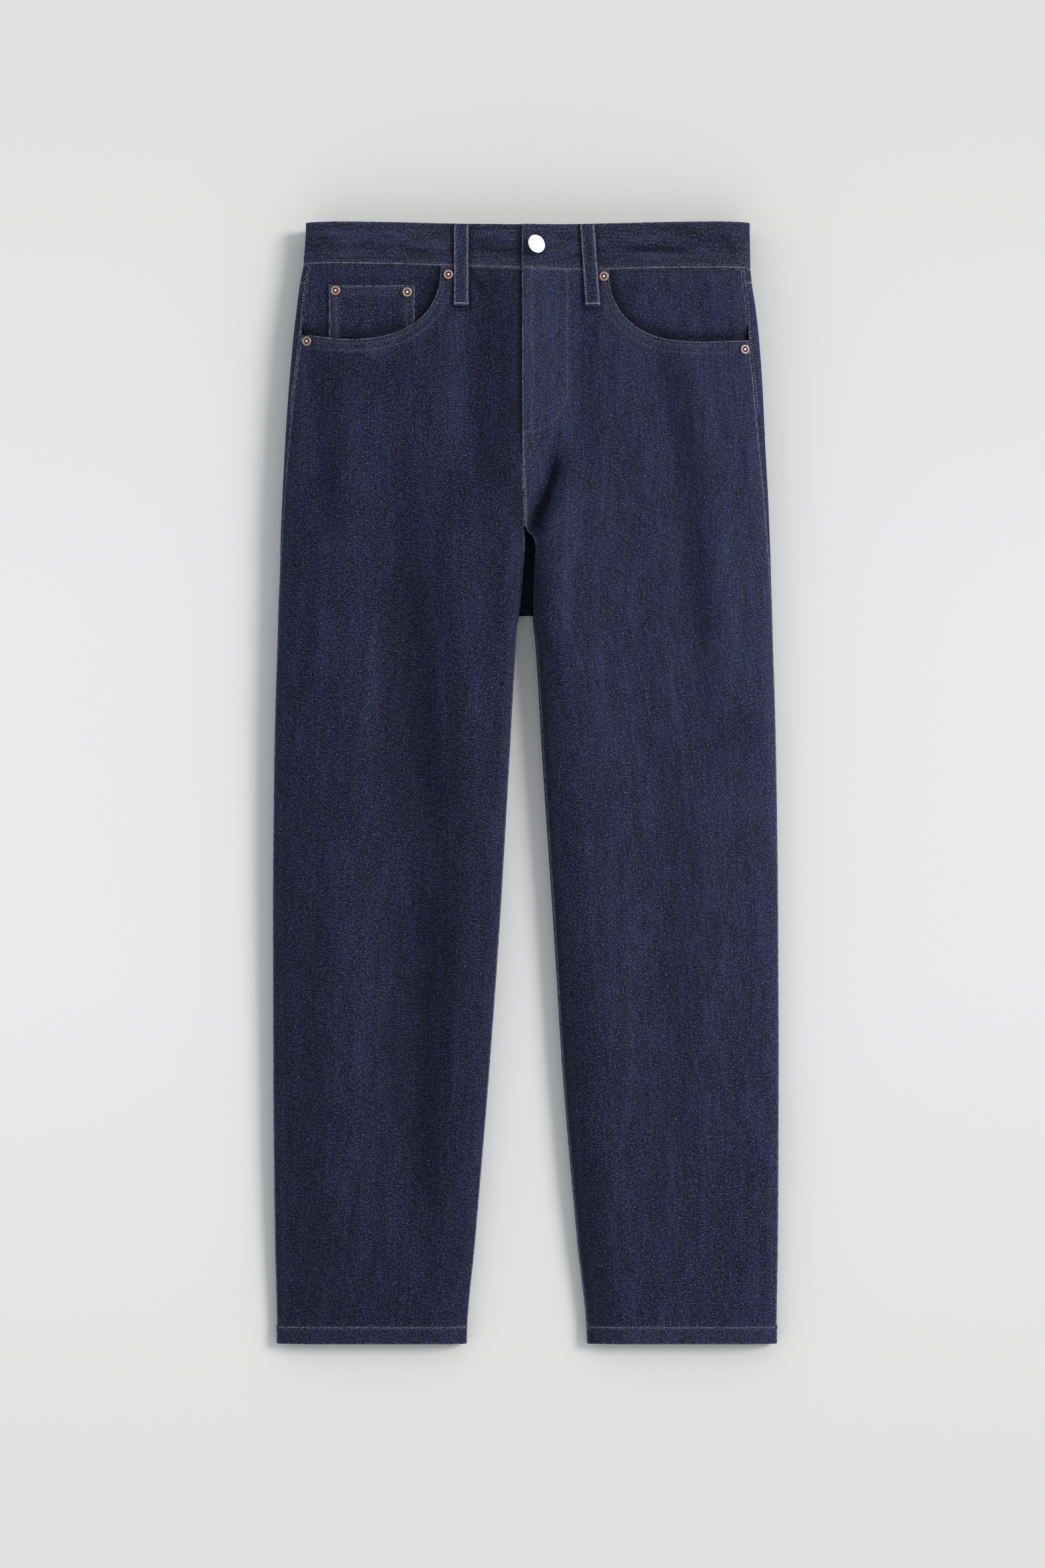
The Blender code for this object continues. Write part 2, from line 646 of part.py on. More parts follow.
def make_facing(side, denim):
    def seam(down):
        return outer_edge(side, down) - along(SEAMS, down, side.name + "_inset") - SEAM_GAP

    def depth(out, down):
        inside = max(ease(0, FACING_SIDE, seam(down) - out), ease(FACING_COVER, FACING_COVER_END, down))
        return mix(FACING_TOP, FACING_DEPTH, inside * ease(FACING_ROWS[0], FACING_SLOPE_END, down))

    def corner(column, row, face):
        down = FACING_ROWS[row]
        out = FACING_COLUMNS[column - 1] if column else seam(down)
        if row == 0:
            down = band_edge(side.sign * out) + SEAM_GAP
        return sunk(side, down, out, depth(out, down) + CLOTH * face)

    def coin_corner(column, row, face):
        down = COIN_ROWS[row]
        out = COIN_COLUMNS[column]
        return sunk(side, down, out, depth(out, down) - SEAM_GAP - CLOTH * (1 - face))

    faces = [sew("pocket_facing_" + side.name, len(FACING_COLUMNS), len(FACING_ROWS) - 1, corner, denim)]
    if side is RIGHT:
        faces.append(sew("coin_pocket", len(COIN_COLUMNS) - 1, len(COIN_ROWS) - 1, coin_corner, denim))
    return faces


def sunk(side, down, out, depth):
    """A place at a depth under the front's outside."""
    step = 0.5
    here = side.sign * out
    rise = (top_height(side, here + step, down) - top_height(side, here - step, down)) / (2 * step)
    size = math.hypot(rise, 1)
    return place(here + rise / size * depth, down, top_height(side, here, down) - depth / size)


def make_front_loop(loop, carriers, denim):
    def corner(column, row, face):
        down = LOOP_ROWS[row]
        x = mix(loop.top_x, loop.end_x, down / LOOP_END) + (column / 2 - 0.5) * LOOP_WIDTH
        near = [max(down + step, FRONT_DIP + 1) for step in (-LOOP_SPAN, 0, LOOP_SPAN)]
        under = max(drop(carriers, x, place_down)[0].z for place_down in near)
        return place(x, down, under / MM + LOOP_LIFT + LOOP_CLOTH * (1 - face))

    return sew(loop.name, 2, len(LOOP_ROWS) - 1, corner, denim)


def make_back_loop(loop, denim):
    def corner(column, row, face):
        down = mix(BACK_DIP, LOOP_END, row / 2)
        return place(loop.top_x + (column - 0.5) * LOOP_WIDTH, down, LOOP_CLOTH * face)

    sew(loop.name, 1, 2, corner, denim)


def make_back_pocket(side, denim):
    def corner(column, row, face):
        across = column / 4 - 0.5
        share = row / 3
        width = BACK_POCKET_WIDTH - BACK_POCKET_TAPER * share
        x = side.sign * BACK_POCKET_CENTRE + across * width
        point = BACK_POCKET_POINT * (1 - 2 * abs(across))
        down = BACK_POCKET_TOP + share * (BACK_POCKET_DEPTH + point)
        return place(x, down, BACK_POCKET_CLOTH * face)

    sew("back_pocket_" + side.name, 4, 3, corner, denim)


def make_rivet(rivet, carriers, steel, copper):
    centre, axis = seat(carriers, rivet.x, rivet.down, RIVET_RADIUS)
    turned("rivet_cap_" + rivet.name, RIVET_CAP, 16, centre, axis, steel)
    turned("rivet_burr_" + rivet.name, RIVET_BURR, 12, centre, axis, copper)


def make_button(carriers, steel):
    centre, axis = seat(carriers, BUTTON_X, BUTTON_DOWN, BUTTON_NECK)
    lean = Vector((math.cos(BUTTON_LEAN), math.sin(BUTTON_LEAN), 0)) * math.tan(BUTTON_TILT)
    clear = axis * BUTTON_NECK * MM * math.sin(BUTTON_TILT)
    turned("button", BUTTON_FACE, 24, centre + clear, (axis + lean).normalized(), steel)


def main():
    clear_scene()
    denim = finish("denim", (0.022, 0.027, 0.075), 0.85)
    steel = finish("steel", (0.62, 0.60, 0.57), 0.35, 1.0)
    copper = finish("copper", (0.55, 0.26, 0.16), 0.4, 1.0)
    band = make_waistband(denim)
    tops = [band]
    for side in SIDES:
        tops += make_facing(side, denim)
        tops.append(make_front(side, denim))
        make_back(side, denim)
        make_yoke(side, denim)
        make_back_pocket(side, denim)
    for loop in FRONT_LOOPS:
        make_front_loop(loop, tops, denim)
    for loop in BACK_LOOPS:
        make_back_loop(loop, denim)
    for rivet in RIVETS:
        make_rivet(rivet, tops, steel, copper)
    make_button([band], steel)


main()
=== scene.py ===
"""Straight leg jeans laid on their back, front up: the look of every piece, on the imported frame.

The tables are in millimetres. x runs across to the wearer's left, down runs from the waist edge to the
hems, and z is the height above the floor. A leg, or half of the hips, is a ring of cloth, and a place
on it is given by its turn: 0 is the side edge, 0 to 1 rolls over the side, 1 to 2 crosses the front,
2 to 3 rolls to the inner edge, 3 to 4 goes under it, 4 to 5 crosses the back on the floor, and 5 to 6
rolls up to the side edge again. Each piece of cloth is cut as a flat grid of cells and laid on the ring.
"""
import math
from collections import namedtuple

import bmesh
import bpy
import numpy as np
from mathutils import Matrix, Vector
from mathutils.bvhtree import BVHTree


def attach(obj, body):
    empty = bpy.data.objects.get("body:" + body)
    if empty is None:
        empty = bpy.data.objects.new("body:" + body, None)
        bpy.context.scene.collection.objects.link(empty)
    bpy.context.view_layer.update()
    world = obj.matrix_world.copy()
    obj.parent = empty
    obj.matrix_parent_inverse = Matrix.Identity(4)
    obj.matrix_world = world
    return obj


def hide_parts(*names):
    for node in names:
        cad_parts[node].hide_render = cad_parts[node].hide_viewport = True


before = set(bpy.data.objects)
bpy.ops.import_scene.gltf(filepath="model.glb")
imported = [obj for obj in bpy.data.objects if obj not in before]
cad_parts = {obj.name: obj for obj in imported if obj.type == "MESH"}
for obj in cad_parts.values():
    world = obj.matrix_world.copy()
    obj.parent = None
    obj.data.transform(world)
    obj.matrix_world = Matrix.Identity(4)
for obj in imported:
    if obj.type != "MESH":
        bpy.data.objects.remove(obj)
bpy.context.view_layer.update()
MM = 0.001

# ---- sizes, as the solids have them

LENGTH = 1060.3
CLOTH = 1.15
SEAM_GAP = 0.3
BAND_CLOTH = 2.2
BAND_DEPTH = 41.6
BAND_SLANT = 2.2
BAND_PROUD = 0.8
FRONT_DIP = 3.0
BACK_DIP = 3.5
DIP_REACH = 190.0
HEM_DEPTH = 17.0
HEM_CLOTH = 2.3
HEM_PROUD = 0.6
HEM_STEP = 1.4
HEM_FOLD = LENGTH - HEM_DEPTH
SIDE_SHARE = 0.42
TURN_UNDER = 9.0
FORK = 372.0
FORK_EDGE = 1.5
CROTCH = 290.0
FLY_END = 200.0
FLY_TUCK = 5.0
FLY_TUCK_FADE = 15.0
FLY_LAP = 1.9
FLY_LAP_START = -34.0
FLY_LAP_END = -9.0
FLY_FADE_START = 218.0
FLY_FADE_END = 242.0
BAND_LAP = 2.8
BAND_LAP_START = -42.0
STRAIGHT_ROW = 150.0
YOKE_SIDE = 57.0
YOKE_CENTRE = 112.0
HIP_HALF = 215.0

Edge = namedtuple("Edge", "down side inner side_roll inner_roll")
RIGHT_EDGES = (
    Edge(0, 207.9, 3.8, 46, 40),
    Edge(40, 210.4, 3.8, 46, 40),
    Edge(58, 213.8, 3.8, 46, 40),
    Edge(76, 216.1, 3.8, 46, 40),
    Edge(142, 223.0, 3.8, 46, 40),
    Edge(218, 228.1, 3.6, 46, 38),
    Edge(270, 230.7, 1.2, 45, 30),
    Edge(290, 231.6, 0.8, 44, 24),
    Edge(303, 232.0, 0.2, 44, 20),
    Edge(331, 232.7, 1.9, 43, 15),
    Edge(366, 234.2, 4.9, 42, 15),
    Edge(382, 234.6, 8.0, 42, 13),
    Edge(394, 235.0, 8.8, 42, 14),
    Edge(508, 238.1, 15.1, 42, 28),
    Edge(659, 239.4, 23.9, 44, 30),
    Edge(810, 239.1, 34.7, 52, 30),
    Edge(960, 237.6, 47.2, 54, 28),
    Edge(1060.3, 235.6, 55.4, 48, 26),
)
LEFT_EDGES = (
    Edge(0, 211.7, -3.8, 40, 40),
    Edge(40, 212.3, -3.8, 40, 40),
    Edge(62, 214.3, -3.8, 40, 40),
    Edge(76, 216.7, -3.8, 40, 40),
    Edge(142, 223.0, -3.8, 40, 40),
    Edge(218, 226.8, -3.6, 40, 38),
    Edge(270, 229.6, -1.2, 40, 30),
    Edge(288, 230.3, -0.8, 40, 26),
    Edge(300, 230.8, 7.6, 40, 22),
    Edge(308, 231.1, 8.2, 40, 20),
    Edge(331, 231.8, 6.9, 40, 18),
    Edge(366, 232.9, 6.1, 40, 17),
    Edge(382, 233.3, 6.7, 40, 19),
    Edge(394, 233.7, 8.2, 40, 24),
    Edge(508, 236.9, 15.1, 40, 50),
    Edge(659, 238.8, 25.2, 40, 56),
    Edge(810, 239.4, 34.7, 38, 56),
    Edge(960, 238.8, 47.8, 36, 50),
    Edge(1060.3, 237.5, 57.3, 34, 42),
)

# crest: height of the front; floor: height of the back's underside; inner_share: the inner edge's height
Loft = namedtuple("Loft", "down crest floor inner_share")
LOFTS = (
    Loft(0, 25.0, 2.2, 1.0),
    Loft(41, 26.5, 2.2, 1.0),
    Loft(96, 28.5, 2.2, 1.0),
    Loft(108, 29.0, 1.5, 1.0),
    Loft(200, 29.0, 1.5, 1.0),
    Loft(284, 28.0, 1.5, 1.0),
    Loft(296, 27.8, 1.5, 0.86),
    Loft(303, 27.6, 1.3, 0.62),
    Loft(315, 27.4, 0.9, 0.42),
    Loft(331, 27.0, 0.4, 0.30),
    Loft(351, 26.8, 0.0, 0.25),
    Loft(372, 26.5, 0.0, 0.25),
    Loft(394, 26.0, 0.0, 0.36),
    Loft(430, 25.5, 0.0, 0.42),
    Loft(508, 24.5, 0.0, 0.42),
    Loft(659, 22.5, 0.0, 0.42),
    Loft(810, 20.5, 0.0, 0.42),
    Loft(910, 18.5, 0.0, 0.42),
    Loft(1000, 14.8, 0.0, 0.42),
    Loft(1043, 13.0, 0.0, 0.42),
    Loft(1060.3, 12.6, 0.0, 0.42),
)

# How far inside the side edge the side seam lies, the turn of the inner leg seam, and the centre back
Seam = namedtuple("Seam", "down right_inset left_inset inner_turn centre_back")
SEAMS = (
    Seam(0, 6.5, 9.5, 3.0, 0.0),
    Seam(60, 7.0, 8.0, 3.0, 0.0),
    Seam(110, 7.5, 10.0, 3.0, 0.0),
    Seam(180, 4.8, 7.5, 3.0, 0.0),
    Seam(260, 2.0, 4.0, 3.0, 0.5),
    Seam(286, 1.5, 3.0, 3.0, 1.5),
    Seam(290, 1.4, 2.8, 2.80, 1.7),
    Seam(331, 0.6, 1.4, 2.80, 3.0),
    Seam(372, 0.4, 0.6, 2.80, 3.0),
    Seam(500, 0.4, 0.4, 2.84, 3.0),
    Seam(1060.3, 0.4, 0.4, 2.88, 3.0),
)

# The largest folds, which the solids have too
Fold = namedtuple("Fold", "x0 down0 x1 down1 bow half_width height")
FOLDS = (
    Fold(-160, 90, -158, 560, 2, 30, 3.0),        # outer ridge of the right thigh
    Fold(-158, 480, -172, 1040, -4, 30, 3.0),     # and of the right shin
    Fold(-122, 250, -106, 640, 2, 34, -8.0),      # long trough down the right leg
    Fold(-107, 560, -112, 1000, 6, 33, -8.0),
    Fold(-64, 230, -60, 620, 0, 20, 2.5),         # inner ridge of the right leg
    Fold(-60, 560, -88, 1030, 2, 18, 2.5),
    Fold(-198, 100, -196, 300, 0, 15, -4.5),      # under the right pocket
    Fold(-128, 220, -118, 330, 0, 12, -2.0),
    Fold(-8, -80, -8, 330, 0, 33, 8.0),           # swell under the fly
    Fold(52, 30, 50, 270, 0, 13, -3.0),           # and the trough beside it
    Fold(31, 205, -3, 316, 3.5, 10, -9.0),        # deep fold that runs into the crotch
    Fold(38, 190, 6, 246, 0, 8, -2.0),
    Fold(42, 225, 32, 430, -6, 14, 3.0),          # ridge beside it
    Fold(110, 60, 160, 470, 14, 14, -4.0),        # slanting fold below the left pocket
    Fold(136, 60, 186, 500, 14, 18, 5.0),
    Fold(110, 420, 128, 820, 6, 26, -2.4),
    Fold(170, 480, 178, 1000, 0, 30, 2.0),
    Fold(80, 600, 92, 1020, 0, 24, 1.6),
)
FOLD_FADE = 0.3

# Smaller creases, which only the cloth here has: a ridge or trough from one point to another
Crease = namedtuple("Crease", "x0 down0 x1 down1 half_width height")
CREASES = (
    # along the deep fold and round the end of the fly
    Crease(30, 216, 14, 284, 3.2, -2.6),
    Crease(24, 246, -3, 306, 3.4, -3.4),
    Crease(36, 214, 14, 291, 3.4, 1.8),
    Crease(37, 188, 12, 240, 2.4, -1.2),
    Crease(31, 184, 8, 228, 2.2, 0.9),
    Crease(30, 150, 12, 176, 2.6, -0.9),
    Crease(27, 140, 15, 160, 2.0, 0.8),
    Crease(34, 120, 18, 136, 2.4, -0.6),
    Crease(22, 168, 33, 186, 2.0, 0.8),
    Crease(3, 206, 22, 200, 2.0, -0.7),
    Crease(6, 214, 16, 236, 3.0, 0.7),
    Crease(48, 268, 66, 330, 5.0, -0.9),
    Crease(60, 240, 84, 300, 6.0, 0.7),
    # spreading from the crotch over the right thigh
    Crease(-8, 250, -30, 318, 4.5, -1.2),
    Crease(-16, 240, -44, 300, 5.0, 0.9),
    Crease(-10, 286, -24, 372, 4.0, 0.9),
    Crease(-26, 226, -70, 262, 5.5, -0.8),
    Crease(-34, 262, -52, 350, 5.0, -0.8),
    # beside the belt loops and under the waistband
    Crease(-55, 42, -40, 76, 2.6, -1.7),
    Crease(-50, 41, -33, 67, 2.2, 1.3),
    Crease(-45, 41, -28, 58, 1.8, -1.0),
    Crease(-80, 76, -81, 156, 4.0, 0.8),
    Crease(-92, 116, -94, 210, 5.0, -0.8),
    Crease(-30, 60, -26, 170, 4.5, -0.7),
    Crease(-18, 70, -15, 180, 3.5, 0.6),
    Crease(22, 50, 25, 132, 4.0, -0.6),
    Crease(72, 86, 70, 150, 4.0, 0.8),
    Crease(66, 84, 60, 128, 3.0, -0.7),
    Crease(84, 120, 92, 190, 6.0, 0.8),
    Crease(106, 124, 118, 214, 7.0, -0.9),
    Crease(181, 118, 196, 216, 6.0, 0.9),
    Crease(200, 128, 212, 200, 5.0, -0.9),
    # in the waistband
    Crease(-196, 8, -146, 24, 4.0, 0.8),
    Crease(-176, 20, -120, 30, 3.0, -0.7),
    Crease(-140, 8, -96, 22, 3.6, 0.9),
    Crease(-132, 19, -78, 35, 3.0, -0.9),
    Crease(-96, 10, -70, 14, 2.6, -0.6),
    Crease(-54, 24, -8, 31, 3.0, -0.7),
    Crease(-50, 12, -20, 16, 3.0, 0.6),
    Crease(16, 30, 52, 24, 3.2, 0.7),
    Crease(24, 12, 50, 18, 2.8, -0.6),
    Crease(72, 24, 172, 29, 3.0, -1.2),
    Crease(80, 31, 156, 35, 2.8, 0.9),
    Crease(84, 16, 130, 20, 3.0, 0.8),
    Crease(120, 6, 176, 13, 3.0, -0.7),
    Crease(182, 8, 200, 36, 4.0, -0.9),
    # in the left facing and round the coin pocket
    Crease(90, 46, 106, 100, 6.0, -1.3),
    Crease(114, 50, 98, 98, 6.0, 0.9),
    Crease(196, 58, 150, 108, 8.0, -1.2),
    Crease(170, 48, 186, 86, 6.0, 0.8),
    Crease(-196, 52, -192, 106, 4.0, 0.7),
    Crease(-98, 52, -110, 100, 4.5, -0.8),
    # long soft ones down the thighs, the knees and the shins
    Crease(-188, 240, -196, 520, 9.0, 1.0),
    Crease(-206, 300, -210, 470, 6.0, -0.9),
    Crease(-142, 330, -150, 560, 9.0, 0.9),
    Crease(-84, 360, -76, 560, 7.0, 0.9),
    Crease(-44, 380, -48, 540, 6.0, 0.8),
    Crease(-26, 400, -36, 560, 5.0, -0.7),
    Crease(-196, 560, -202, 760, 8.0, -0.9),
    Crease(-150, 600, -158, 860, 10.0, 1.0),
    Crease(-70, 620, -92, 850, 7.0, -0.8),
    Crease(-62, 700, -74, 900, 6.0, 0.8),
    Crease(-216, 640, -218, 900, 7.0, 0.9),
    Crease(-118, 820, -128, 1010, 9.0, 1.0),
    Crease(-186, 800, -196, 1020, 9.0, -0.9),
    Crease(-90, 880, -98, 1034, 7.0, -0.8),
    Crease(40, 300, 44, 470, 8.0, -0.9),
    Crease(64, 330, 70, 520, 9.0, 0.8),
    Crease(96, 290, 112, 430, 9.0, -0.8),
    Crease(128, 360, 146, 540, 8.0, 0.9),
    Crease(206, 280, 218, 420, 6.0, 0.9),
    Crease(150, 560, 162, 760, 9.0, -0.8),
    Crease(62, 560, 78, 740, 8.0, -0.8),
    Crease(92, 640, 104, 860, 9.0, 0.8),
    Crease(198, 600, 206, 820, 8.0, -0.8),
    Crease(216, 560, 220, 700, 5.0, 0.8),
    Crease(132, 800, 140, 1010, 9.0, 0.8),
    Crease(96, 860, 106, 1030, 7.0, -0.7),
    Crease(182, 840, 190, 1024, 8.0, -0.8),
)
CREASE_FADE = 0.35
FOLD_GAIN = 0.38           # how much deeper the soft cloth folds than the solids do
FOLD_GAIN_START = 46.0
FOLD_GAIN_FULL = 96.0

# Soft dents on the underside, behind the knees and under the seat
BACK_CREASES = (
    Crease(-200, 520, -80, 548, 9.0, -0.9),
    Crease(-210, 574, -110, 590, 8.0, -0.7),
    Crease(-150, 618, -60, 640, 9.0, -0.6),
    Crease(204, 510, 96, 536, 9.0, -0.8),
    Crease(190, 566, 70, 600, 10.0, -0.9),
    Crease(214, 628, 130, 650, 8.0, -0.6),
    Crease(-20, 300, -90, 330, 8.0, -0.8),
    Crease(-30, 340, -120, 392, 9.0, -0.6),
    Crease(24, 306, 84, 322, 7.0, -0.7),
    Crease(34, 350, 128, 400, 9.0, -0.6),
    Crease(-120, 760, -180, 920, 9.0, -0.6),
    Crease(140, 740, 190, 900, 9.0, -0.6),
)

# Long soft patches of the fronts, shaped as creases are: faded above 0, and below it painted shade, as along
# the right leg's trough and the fold into the crotch
FADES_AND_PAINTED_SHADE = (
    Crease(-64, 44, -70, 262, 14.0, 1.2),
    Crease(-158, 121, -120, 124, 7.0, 1.4),
    Crease(-204, 112, -200, 270, 8.0, 0.4),
    Crease(-114, 400, -108, 1050, 11.0, 0.35),
    Crease(-68, 380, -76, 780, 14.0, -0.45),
    Crease(-140, 200, -146, 400, 12.0, -0.3),
    Crease(-179, 200, -182, 400, 10.0, -0.3),
    Crease(-196, 560, -200, 1200, 26.0, -0.35),
    Crease(146, 190, 152, 340, 8.0, 0.45),
    Crease(176, 180, 184, 420, 9.0, -0.5),
    Crease(4, 226, 0, 312, 10.0, -1.3),
)

# A pocket mouth falls from its start and top to its bottom over its reach, and rises a little at the side
Mouth = namedtuple("Mouth", "start top reach bottom rise")
RIGHT_MOUTH = Mouth(80.3, 41.6, 88.0, 111.5, 4.5)
LEFT_MOUTH = Mouth(78.1, 43.5, 85.0, 114.0, 1.5)
MOUTH_POWER = 2.4          # 2 would be a quarter of an ellipse

# front_fade, facing_fade: how faded they are as a whole; knee_shade, shin_shade: how much darker they are
# lower down
Side = namedtuple("Side", "name sign edges mouth front_fade facing_fade knee_shade shin_shade")
RIGHT = Side("right", -1, RIGHT_EDGES, RIGHT_MOUTH, -0.38, 0.0, 0.25, 0.0)
LEFT = Side("left", 1, LEFT_EDGES, LEFT_MOUTH, 0.55, 0.55, 0.2, 0.35)
SIDES = (RIGHT, LEFT)

# The denim seen in a pocket mouth: its reach, and how far it lies under the front's outside
FACING_END = 66.0
FACING_BOTTOM = 126.0
FACING_TOP = 1.5           # depth at the waistband
FACING_DEPTH = 4.0         # depth from FACING_SLOPE_END on down
FACING_SLOPE_END = 75.0
FACING_SIDE = 20.0         # it rises to the side seam over this width
SEAM_DEPTH = 0.25          # depth at the side seam
FACING_COVER = 97.0        # here the front begins to cover it
FACING_COVER_END = 107.0
COIN_OUTER = 186.0
COIN_INNER = 105.0
COIN_TOP = 60.5
COIN_BOTTOM = 112.0

LOOP_WIDTH = 13.5
LOOP_TOP = 2.8
LOOP_END = 80.0
LOOP_CLOTH = 1.8
LOOP_LIFT = 0.5            # a loop's clearance over what it crosses, within LOOP_SPAN up and down
LOOP_SPAN = 4.0
Loop = namedtuple("Loop", "name top_x end_x")
FRONT_LOOPS = (
    Loop("belt_loop_front_right", -61.0, -61.0),
    Loop("belt_loop_front_left", 57.7, 63.0),
)
BACK_LOOPS = (
    Loop("belt_loop_side_right", -140.0, -140.0),
    Loop("belt_loop_back", 0.0, 0.0),
    Loop("belt_loop_side_left", 140.0, 140.0),
)

UNDER_LOOPS = ("waistband", "front_right", "front_left", "pocket_facing_right", "pocket_facing_left")

BACK_POCKET_CENTRE = 106.0
BACK_POCKET_TOP = 120.0
BACK_POCKET_WIDTH = 152.0
BACK_POCKET_TAPER = 14.0
BACK_POCKET_DEPTH = 145.0
BACK_POCKET_POINT = 22.0
BACK_POCKET_CLOTH = 1.2
BACK_POCKET_LIFT = 0.3     # a patch pocket and a back loop lie flat under the backs, just above the floor
BACK_LOOP_LIFT = 0.38

Rivet = namedtuple("Rivet", "name x down")
RIVETS = (
    Rivet("coin_outer", -179.6, 65.2),
    Rivet("coin_inner", -112.0, 66.8),
    Rivet("pocket_right", -73.0, 50.4),
    Rivet("pocket_left", 73.6, 52.3),
    Rivet("side_right", -206.4, 113.0),
    Rivet("side_left", 206.4, 121.0),
)
RIVET_RADIUS = 4.8
BUTTON_X = 8.2
BUTTON_DOWN = 23.6
BUTTON_NECK = 3.4          # radius of its shank
BUTTON_TILT = math.radians(24)
BUTTON_LEAN = math.radians(24)    # the way it tilts, from straight across

# ---- sizes that only the finished cloth has

CELL = 2.6                 # height of the cells of the fronts' grids
BACK_CELL = 5.0
# Rows and columns beside an edge, close together where the cloth turns
EDGE_STEPS = (0.0, 0.22, 0.5, 0.9, 1.4, 2.1, 3.0, 4.0, 5.4, 7.0, 8.8, 10.4, 11.6, 13.0, 15.0, 18.0)
ROUNDING = 0.45            # radius of a cut or folded edge, as a share of the cloth's thickness
FLY_EDGE = -3.0            # where the fly edge lies across the front
FLY_WIDTH = 42.0           # from the fly edge to the row of stitches that holds the fly facing
FLY_BULGE = 0.45           # how much the facing under the fly lifts it
FLY_CURVE = 159.0          # where those stitches begin to curve in
MOUTH_HEM = 12.0           # turned under along a pocket mouth
MOUTH_BULGE = 0.35         # and how much that hem lifts the mouth
STITCH_GROOVE = 0.28       # how far a row of stitches draws the cloth in
GROOVE_HALF = 0.9
ROW_HALF = 1.7             # half width of the wear along a row
BAND_SAG = 3.6             # how much lower the waist seam hangs in the soft cloth, most near the fly
BAND_SAG_CENTRE = 35.0
BAND_SAG_HALF = 110.0

# Rows of stitches, by their distance from the edge they hold
BAND_ROW = 0.7
HEM_ROW = 1.2
MOUTH_ROWS = (4.0, 11.0)
POCKET_ROWS = (1.8, 7.0)
FLY_ROW = 5.0              # across the front, beside the fly edge
CROTCH_ROW = 1.3
SIDE_ROW = 1.7
SIDE_ROW_END = 182.0
YOKE_ROWS = (2.2, 8.0)
YOKE_ROW_ENDS = (3.0, 208.0)
POCKET_HEM_ROW = 12.0
LOOP_ROW = 1.1
TACK_ROW = 2.2             # the short thick bars that hold a belt loop's ends
WAIST_ROWS = ((-206.0, -68.2), (-54.0, -4.8), (-3.0, 51.5), (66.0, 207.0))    # between the loops and the lap

# Wear and painted shade: above 0 the cloth is faded, and below 0 it is darker.
# Below 0 it is painted shade in troughs, creases, pocket mouths, beside the fly, lap and loops,
# on the left leg's inner roll and between the legs, and a darker tone on the right front and lower legs.
KNEE = (300.0, 800.0)      # over these stretches the shade of the knees and of the shins sets in
SHIN = (560.0, 900.0)
# Ridges of folds and creases are faded and lighter, partly as painted light; their troughs are darkened as
# painted shade.
RIDGE_WEAR_AND_PAINTED_LIGHT = 0.5
TROUGH_PAINTED_SHADE = 0.55
CREASE_WEAR_AND_PAINTED_LIGHT = 0.45
CREASE_PAINTED_SHADE = 0.5
HEM_WEAR = 0.25
FLY_WEAR = 0.22
# Painted shade on the right front beside the fly.
BESIDE_FLY_PAINTED_SHADE = 0.40
# Painted shadow that the fly lap's edge casts on the cloth beside it.
LAP_PAINTED_SHADOW = 1.7
LAP_PAINTED_SHADOW_CENTRE = -6.0
LAP_PAINTED_SHADOW_REACH = 3.4
# Painted shadow along the sides and ends of the front belt loops, on the fronts and the waistband.
LOOP_PAINTED_SHADOW = 2.2
LOOP_PAINTED_SHADOW_REACH = 2.6
# Painted shade inside the pocket mouths, on the facings and the coin pocket.
MOUTH_PAINTED_SHADE = 2.6
MOUTH_PAINTED_SHADE_REACH = 9.0
# Painted shade on the left leg's inner roll and its edge.
ROLL_PAINTED_SHADE = 1.2           # on the inner roll of the left leg
ROLL_EDGE_PAINTED_SHADE = 1.0
# Painted shade on the back's cloth seen between the legs, out to BETWEEN_LEGS.
BETWEEN_LEGS_PAINTED_SHADE = 1.6        # on the cloth seen between the legs
BETWEEN_LEGS = 28.0        # as far out as this, below the fork of the fronts, the back shows its dyed face

BACK_SINK = 0.35           # the backs and yokes lie this far up, so that their threads stay above the floor

FAR = 99.0                 # a distance beyond every edge
NOWHERE = 9.0              # a distance beyond what a row of stitches changes
POINT_STEP = 0.5           # between the points of a line


# ---- the shape of the cloth

def mix(low, high, share):
    return low + (high - low) * share


def ease(low, high, value):
    """0 below low, 1 above high, and a soft step between them."""
    share = np.clip((value - low) / (high - low), 0.0, 1.0)
    return share * share * (3 - 2 * share)


def bell(distance, half):
    """1 on a line, and dying away on both sides of it."""
    return np.exp(-(distance / half) ** 2)


def along(table, down, column):
    """A table's values at distances down: smooth, through every row, and never past a neighbour."""
    downs = np.array([row.down for row in table], float)
    values = np.array([getattr(row, column) for row in table], float)
    step = np.diff(downs)
    rise = np.diff(values) / step
    bend = rise[:-1] * rise[1:]
    slope = np.zeros(len(values))
    inner = slope[1:-1]
    inner[bend > 0] = 2 * bend[bend > 0] / (rise[:-1] + rise[1:])[bend > 0]
    down = np.clip(down, downs[0], downs[-1])
    i = np.clip(np.searchsorted(downs, down) - 1, 0, len(step) - 1)
    share = (down - downs[i]) / step[i]
    start, end, lift = slope[i], slope[i + 1], rise[i]
    return values[i] + step[i] * (start * share + (3 * lift - 2 * start - end) * share ** 2
                                  + (start + end - 2 * lift) * share ** 3)


def fold_height(x, down):
    total = np.zeros(np.broadcast(x, down).shape)
    for fold in FOLDS:
        share = (down - fold.down0) / (fold.down1 - fold.down0)
        line = mix(fold.x0, fold.x1, share) + fold.bow * 4 * share * (1 - share)
        run = (fold.x1 - fold.x0) / (fold.down1 - fold.down0)
        away = (x - line) / math.hypot(1, run)
        ends = ease(0, FOLD_FADE, share) * ease(0, FOLD_FADE, 1 - share)
        total += fold.height * ends * bell(away, fold.half_width)
    return total


